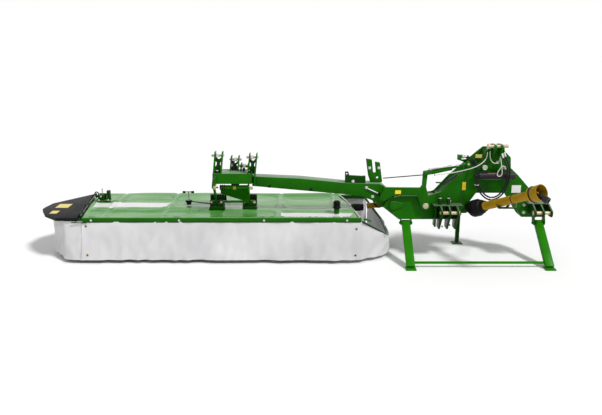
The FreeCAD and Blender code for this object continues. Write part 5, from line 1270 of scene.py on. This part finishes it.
@dataclass
class HeadDetails:
    """The pins, blocks, bolts, washers, caps, seals, knobs, bars and rods of the suspension
    head.
    """

    pins: tuple[tuple[str, float, float, float, float], ...] = (
        ("left", -0.806, -0.700, -0.010, 1.075), ("right", -0.448, -0.354, -0.010, 1.056),
        ("middle", -0.634, -0.532, 0.122, 1.010), ("low", -0.540, -0.452, 0.122, 0.944))
    tie: Pair = (-0.784, -0.052)
    feet: Pair = (-0.793, -0.445)

    def build(self) -> None:
        """Dress the ladders, the bays, the tube and the feet."""
        for name, left, right, row, height in self.pins:
            self.set_pin(name, left, right, row, height)
        self.dress_bays()
        self.dress_feet()

    def set_pin(self, name: str, left: float, right: float, row: float, height: float) -> None:
        """Set one pin across the top of a ladder, with its block and bolts.

        Args:
            name: Its name.
            left: Its left end.
            right: Its right end.
            row: Its place from front to rear.
            height: Its height.
        """
        BOOM.bar(f"ladder_pin_{name}", (left, row, height), (right, row, height), 0.0105,
                 PLATED, chamfer=0.002)
        middle = (left + right) / 2
        BOOM.box(f"ladder_block_{name}", (middle - 0.016, row - 0.017, height - 0.017),
                 (middle + 0.016, row + 0.017, height + 0.017), ZINC, 0.003)
        BOOM.bolts(f"ladder_bolts_{name}", [(left + 0.002, row, height),
                                            (right - 0.002, row, height)],
                   (INWARD, OUTWARD), 0.0125, ZINC)

    def dress_bays(self) -> None:
        """Set the tie rod, the caps and the rings round the tube."""
        pin, _, height = middle_of("tilt_pin")
        BED.bar("tie_rod_dressed", (*self.tie, 0.775), (*self.tie, 0.862), 0.010, GREEN)
        BED.bar("tie_rod_cap", (*self.tie, 0.770), (*self.tie, 0.788), 0.014, YELLOW,
                chamfer=0.003)
        row, top = middle_of("rubber_stops")[1], corners_of("rubber_stops")[1][2]
        for number, across in enumerate((-0.764, -0.443), 1):
            BOOM.bar(f"stop_washer_{number}", (across, row, top - 0.0015),
                     (across, row, top + 0.0035), 0.017, ZINC)
        for number, across in enumerate((-0.735, -0.715, -0.695), 1):
            BED.ring(f"tube_seal_{number}", (across, 0.0, height), OUTWARD, 0.0250, 0.0045,
                     RUBBER)
        BOOM.bar("tilt_cap", (pin, -0.048, height), (pin, -0.036, height), 0.014, YELLOW,
                 chamfer=0.003)
        BED.bolts("arm_bolt", [(-0.414, -0.030, height), (-0.783, -0.092, 0.756)], (FORWARD,),
                  0.014, PLATED)

    def dress_feet(self) -> None:
        """Set the bolts, knobs and the bar at the feet of the arm."""
        seats = [(across + shift, 0.077, 0.556)
                 for across in self.feet for shift in (-0.052, 0.052)]
        BED.bolts("foot_bolts", seats, ((0.0, -1.0, 0.3),), 0.011, PLATED)
        for number, (across, height) in enumerate(
                ((-0.848, 0.600), (-0.700, 0.606), (-0.380, 0.596)), 1):
            BED.bar(f"foot_knob_{number}", (across, 0.110, height - 0.032),
                    (across, 0.110, height + 0.026), 0.013, BLACK_PLASTIC, end_radius=0.010,
                    chamfer=0.004)
        BED.bar("foot_bar", (-0.728, 0.072, 0.570), (-0.512, 0.072, 0.570), 0.0085,
                BLACK_ENAMEL)
        BED.box("foot_patch", (-0.704, 0.070, 0.478), (-0.520, 0.074, 0.536), ZINC, 0.001)


@dataclass
class BoomDetails:
    """The clips, latch, loops and rods along the boom."""

    clips: tuple[Pair, ...] = ((-0.226, 0.748), (0.204, 0.716))
    bolts: tuple[Triple, ...] = (
        (0.846, 0.000, 0.640), (0.780, 0.000, 0.735), (0.640, 0.013, 0.800),
        (0.815, 0.068, 0.930), (0.910, 0.068, 0.930))

    def build(self) -> None:
        """Dress the front of the boom."""
        for number, (across, height) in enumerate(self.clips, 1):
            BOOM.box(f"boom_clip_{number}", (across - 0.014, -0.010, height - 0.012),
                     (across + 0.014, 0.001, height + 0.012), BLACK_PLASTIC, 0.003)
        BOOM.wire("wire_loop", ((0.395, 0.026, 0.692), (0.430, 0.030, 0.650),
                                (0.480, 0.030, 0.640), (0.520, 0.026, 0.672)), 0.0035, ZINC)
        BOOM.wire("cable_loop", ((0.860, 0.170, 0.610), (0.880, 0.168, 0.520),
                                 (0.925, 0.168, 0.470), (0.975, 0.170, 0.500),
                                 (0.990, 0.160, 0.580)), 0.0075, RUBBER)
        BOOM.bar("latch_rod", (0.792, -0.012, 0.728), (0.912, -0.012, 0.672), 0.0065, ZINC)
        BOOM.bar("latch_knob", (0.900, -0.012, 0.678), (0.930, -0.012, 0.664), 0.014,
                 BLACK_PLASTIC, chamfer=0.004)
        BOOM.bolts("boom_bolts", list(self.bolts), (FORWARD,), 0.012, ZINC)


@dataclass
class StayCable:
    """The thin dark cable that runs from the transport fork to the mast."""

    radius: float = 0.0055
    start: Triple = (0.956, 0.060, 0.822)
    end: Triple = (1.385, -0.060, 0.886)

    def build(self) -> None:
        """Stretch the cable straight from the boom to the headstock."""
        first, last = Vector(self.start), Vector(self.end)
        run = last - first
        bpy.ops.mesh.primitive_cylinder_add(
            vertices=12, radius=self.radius, depth=run.length, location=(first + last) / 2,
            rotation=facing(run))
        cable = bpy.context.object
        cable.name = "stay_cable"
        apply_place(cable)
        bpy.ops.object.mode_set(mode="EDIT")
        bpy.ops.mesh.select_all(action="SELECT")
        bpy.ops.mesh.subdivide(number_cuts=12, smoothness=0.0)
        bpy.ops.object.mode_set(mode="OBJECT")
        bpy.ops.object.shade_smooth_by_angle(angle=math.radians(50.0))
        cable.data.materials.append(BLACK_ENAMEL.material())
        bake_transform(cable)
        LOG.info("stay_cable bends between boom and headstock")


# ---------------------------------------------------------------- headstock


@dataclass
class MastDetails:
    """The painted slot shadows, patches, bolts, pipes and fittings of the headstock."""

    face: float = -0.0405

    def build(self) -> None:
        """Dress the mast, the gearbox side, the accumulator and the lever."""
        # Black bars on the mast's face are painted shade: they stand in for the dark openings of
        # its slots.
        for name, start, end in (("low", (1.566, 0.778), (1.708, 0.880)),
                                 ("high", (1.803, 0.990), (1.860, 1.032))):
            row = self.face + 0.0005
            MAST.bar(f"mast_slot_{name}", (start[0], row, start[1]), (end[0], row, end[1]),
                     0.009, BLACK_ENAMEL, sides=12)
        self.lay_patches()
        self.run_pipe()
        self.set_fittings()

    def lay_patches(self) -> None:
        """Lay the blank patches and stickers."""
        for name, low, high, row, finish, bench in (
                ("mast_patch", (1.880, 1.056), (1.945, 1.092), self.face, PALE_STICKER, MAST),
                ("mast_sticker", (1.764, 0.719), (1.800, 0.804), self.face, BRIGHT_STICKER,
                 MAST),
                ("lever_sticker", (1.066, 0.690), (1.126, 0.728), -0.0900, BRIGHT_STICKER,
                 LEVER),
                ("mast_plate", (2.274, 0.690), (2.370, 0.770), self.face, WHITE_STICKER,
                 MAST)):
            bench.box(name, (low[0], row - 0.0016, low[1]), (high[0], row + 0.001, high[1]),
                      finish, 0.0006, 1)

    def run_pipe(self) -> None:
        """Run the thin pipe above the cylinder, with a union at each end."""
        BARREL.bar("pipe_thin", (1.405, -0.110, 0.955), (1.690, -0.110, 0.995), 0.0055, ZINC)
        for number, (across, row, height) in enumerate(
                ((1.406, -0.104, 0.955), (1.686, -0.104, 0.994)), 1):
            BARREL.bar(f"pipe_union_{number}", (across - 0.014, row - 0.006, height - 0.002),
                       (across + 0.014, row - 0.006, height + 0.002), 0.0105, ZINC, sides=6)

    def set_fittings(self) -> None:
        """Set the nipples, tips, strip, rim, handle, bolts and ring."""
        for number, (across, height) in enumerate(((1.568, 0.341), (1.645, 0.357)), 1):
            MAST.bar(f"grease_nipple_{number}", (across, -0.085, height),
                     (across, -0.108, height), 0.009, YELLOW, end_radius=0.006)
        for number, across in enumerate((1.531, 1.616), 1):
            MAST.bar(f"bracket_tip_{number}", (across, -0.100, 0.640), (across, -0.100, 0.674),
                     0.016, ZINC, end_radius=0.003)
        MAST.bar("accumulator_strip", (1.990, -0.124, 0.9130), (2.090, -0.124, 0.9130),
                 0.0035, YELLOW, sides=10)
        across, _, height = middle_of("pressure_gauge")
        MAST.ring("gauge_rim", (across, corners_of("pressure_gauge")[0][1], height), REARWARD,
                  0.022, 0.0032, ZINC)
        MAST.bar("mast_handle", (1.487, -0.047, 0.800), (1.538, -0.047, 0.800), 0.0075, GREEN,
                 chamfer=0.003)
        spots = ((2.110, 1.010), (2.190, 0.950), (1.560, 0.560), (1.640, 0.600),
                 (2.420, 0.560), (2.420, 0.480))
        MAST.bolts("mast_bolts", [(across, self.face, height) for across, height in spots],
                   (FORWARD,), 0.013, ZINC)
        across, _, height = middle_of("lever_pin")
        LEVER.ring("lever_ring", (across, -0.0925, height), REARWARD, 0.026, 0.0045, ZINC)


@dataclass
class DriveGuard:
    """The ribs, band and bell of the plastic guard on the tractor's shaft."""

    start: Triple = (1.890, -0.100, 0.537)
    run: Triple = (0.440, -0.735, 0.358)
    tube: float = 0.040
    ribs: int = 22
    first_rib: float = 0.165
    rib_pitch: float = 0.024
    bell: Pair = (0.795, 0.878)
    bell_radii: Pair = (0.0735, 0.0765)

    def build(self) -> None:
        """Set the rings and the bell along the guard."""
        way, base = Vector(self.run).normalized(), Vector(self.start)
        for number in range(self.ribs):
            along = self.first_rib + self.rib_pitch * number
            MAST.ring(f"guard_rib_{number + 1}", base + way * along, way, self.tube + 0.0002,
                      0.0024, YELLOW)
        self.set_bell(base + way * self.bell[0], base + way * self.bell[1])
        MAST.ring("guard_bell_ring", base + way * 0.786, way, 0.0740, 0.0070, BLACK_PLASTIC)
        for name, along, radius, finish in (("band", 0.520, self.tube + 0.002, BLACK_PLASTIC),
                                            ("clip", 0.148, self.tube + 0.004, YELLOW)):
            MAST.bar(f"guard_{name}", base + way * along, base + way * (along + 0.016), radius,
                     finish, chamfer=0.003)

    def set_bell(self, start: Vector, end: Vector) -> None:
        """Set the open bell round the joint at the tractor's end.

        Args:
            start: The middle of its closed end.
            end: The middle of its mouth.
        """
        run = end - start
        bpy.ops.mesh.primitive_cone_add(
            vertices=56, radius1=self.bell_radii[0], radius2=self.bell_radii[1],
            depth=run.length, end_fill_type="NOTHING", location=(start + end) / 2,
            rotation=facing(run))
        bell = bpy.context.object
        thicken(bell, 0.0045)
        break_edges(bell, 0.0012)
        MAST.settle(bell, "guard_bell", YELLOW)
        MAST.ring("guard_bell_lip", end, run, self.bell_radii[1], 0.0035, YELLOW)


BROKEN_EDGES = {
    0.0040: ("headstock_beam", "headstock_gearbox", "boom", "bed_gearbox", "cutter_bar"),
    0.0030: ("headstock_mast", "lift_lever", "latch_arm", "swing_arm", "transport_fork",
             "bed_frame", "parking_stand", "rear_leg"),
    0.0020: ("hitch_bracket_left", "hitch_bracket_right", "suspension_head", "bed_feet",
             "side_link", "rear_leg_sleeve", "accumulator", "cylinder_barrel",
             "cylinder_anchor", "pto_yoke", "pto_cradle", "pto_shaft", "pto_guard_cone",
             *(f"disc_{number}" for number in range(1, 8))),
    0.0015: ("top_link_pin", "lower_link_pin_left", "lower_link_pin_right", "boom_pivot_pin",
             "lever_pin", "rubber_stops", "spring_units", "tilt_pin", "adjusting_lever",
             "breather", "cylinder_rod", "drive_shaft_outer", "drive_shaft_inner",
             "pressure_gauge", "shield_hinge", "drive_boot"),
    0.0080: ("outer_shield",),
    0.0090: ("front_rail",),
}


def main() -> None:
    """Build the studio and every sub-assembly, in order."""
    logging.basicConfig(level=logging.INFO)
    Studio().build()
    Lines().build()
    dress_frame()
    for width, nodes in BROKEN_EDGES.items():
        for node in nodes:
            Bench(BODY_OF[node]).soften(node, width)
    TopCover().build()
    for curtain in CURTAINS:
        curtain.build()
    for detail in (CurtainDetails(), BedDetails(), HeadDetails(), BoomDetails(),
                   StayCable(), MastDetails(), DriveGuard()):
        detail.build()
        LOG.info("%s dressed", type(detail).__name__)


if __name__ == "__main__":
    main()
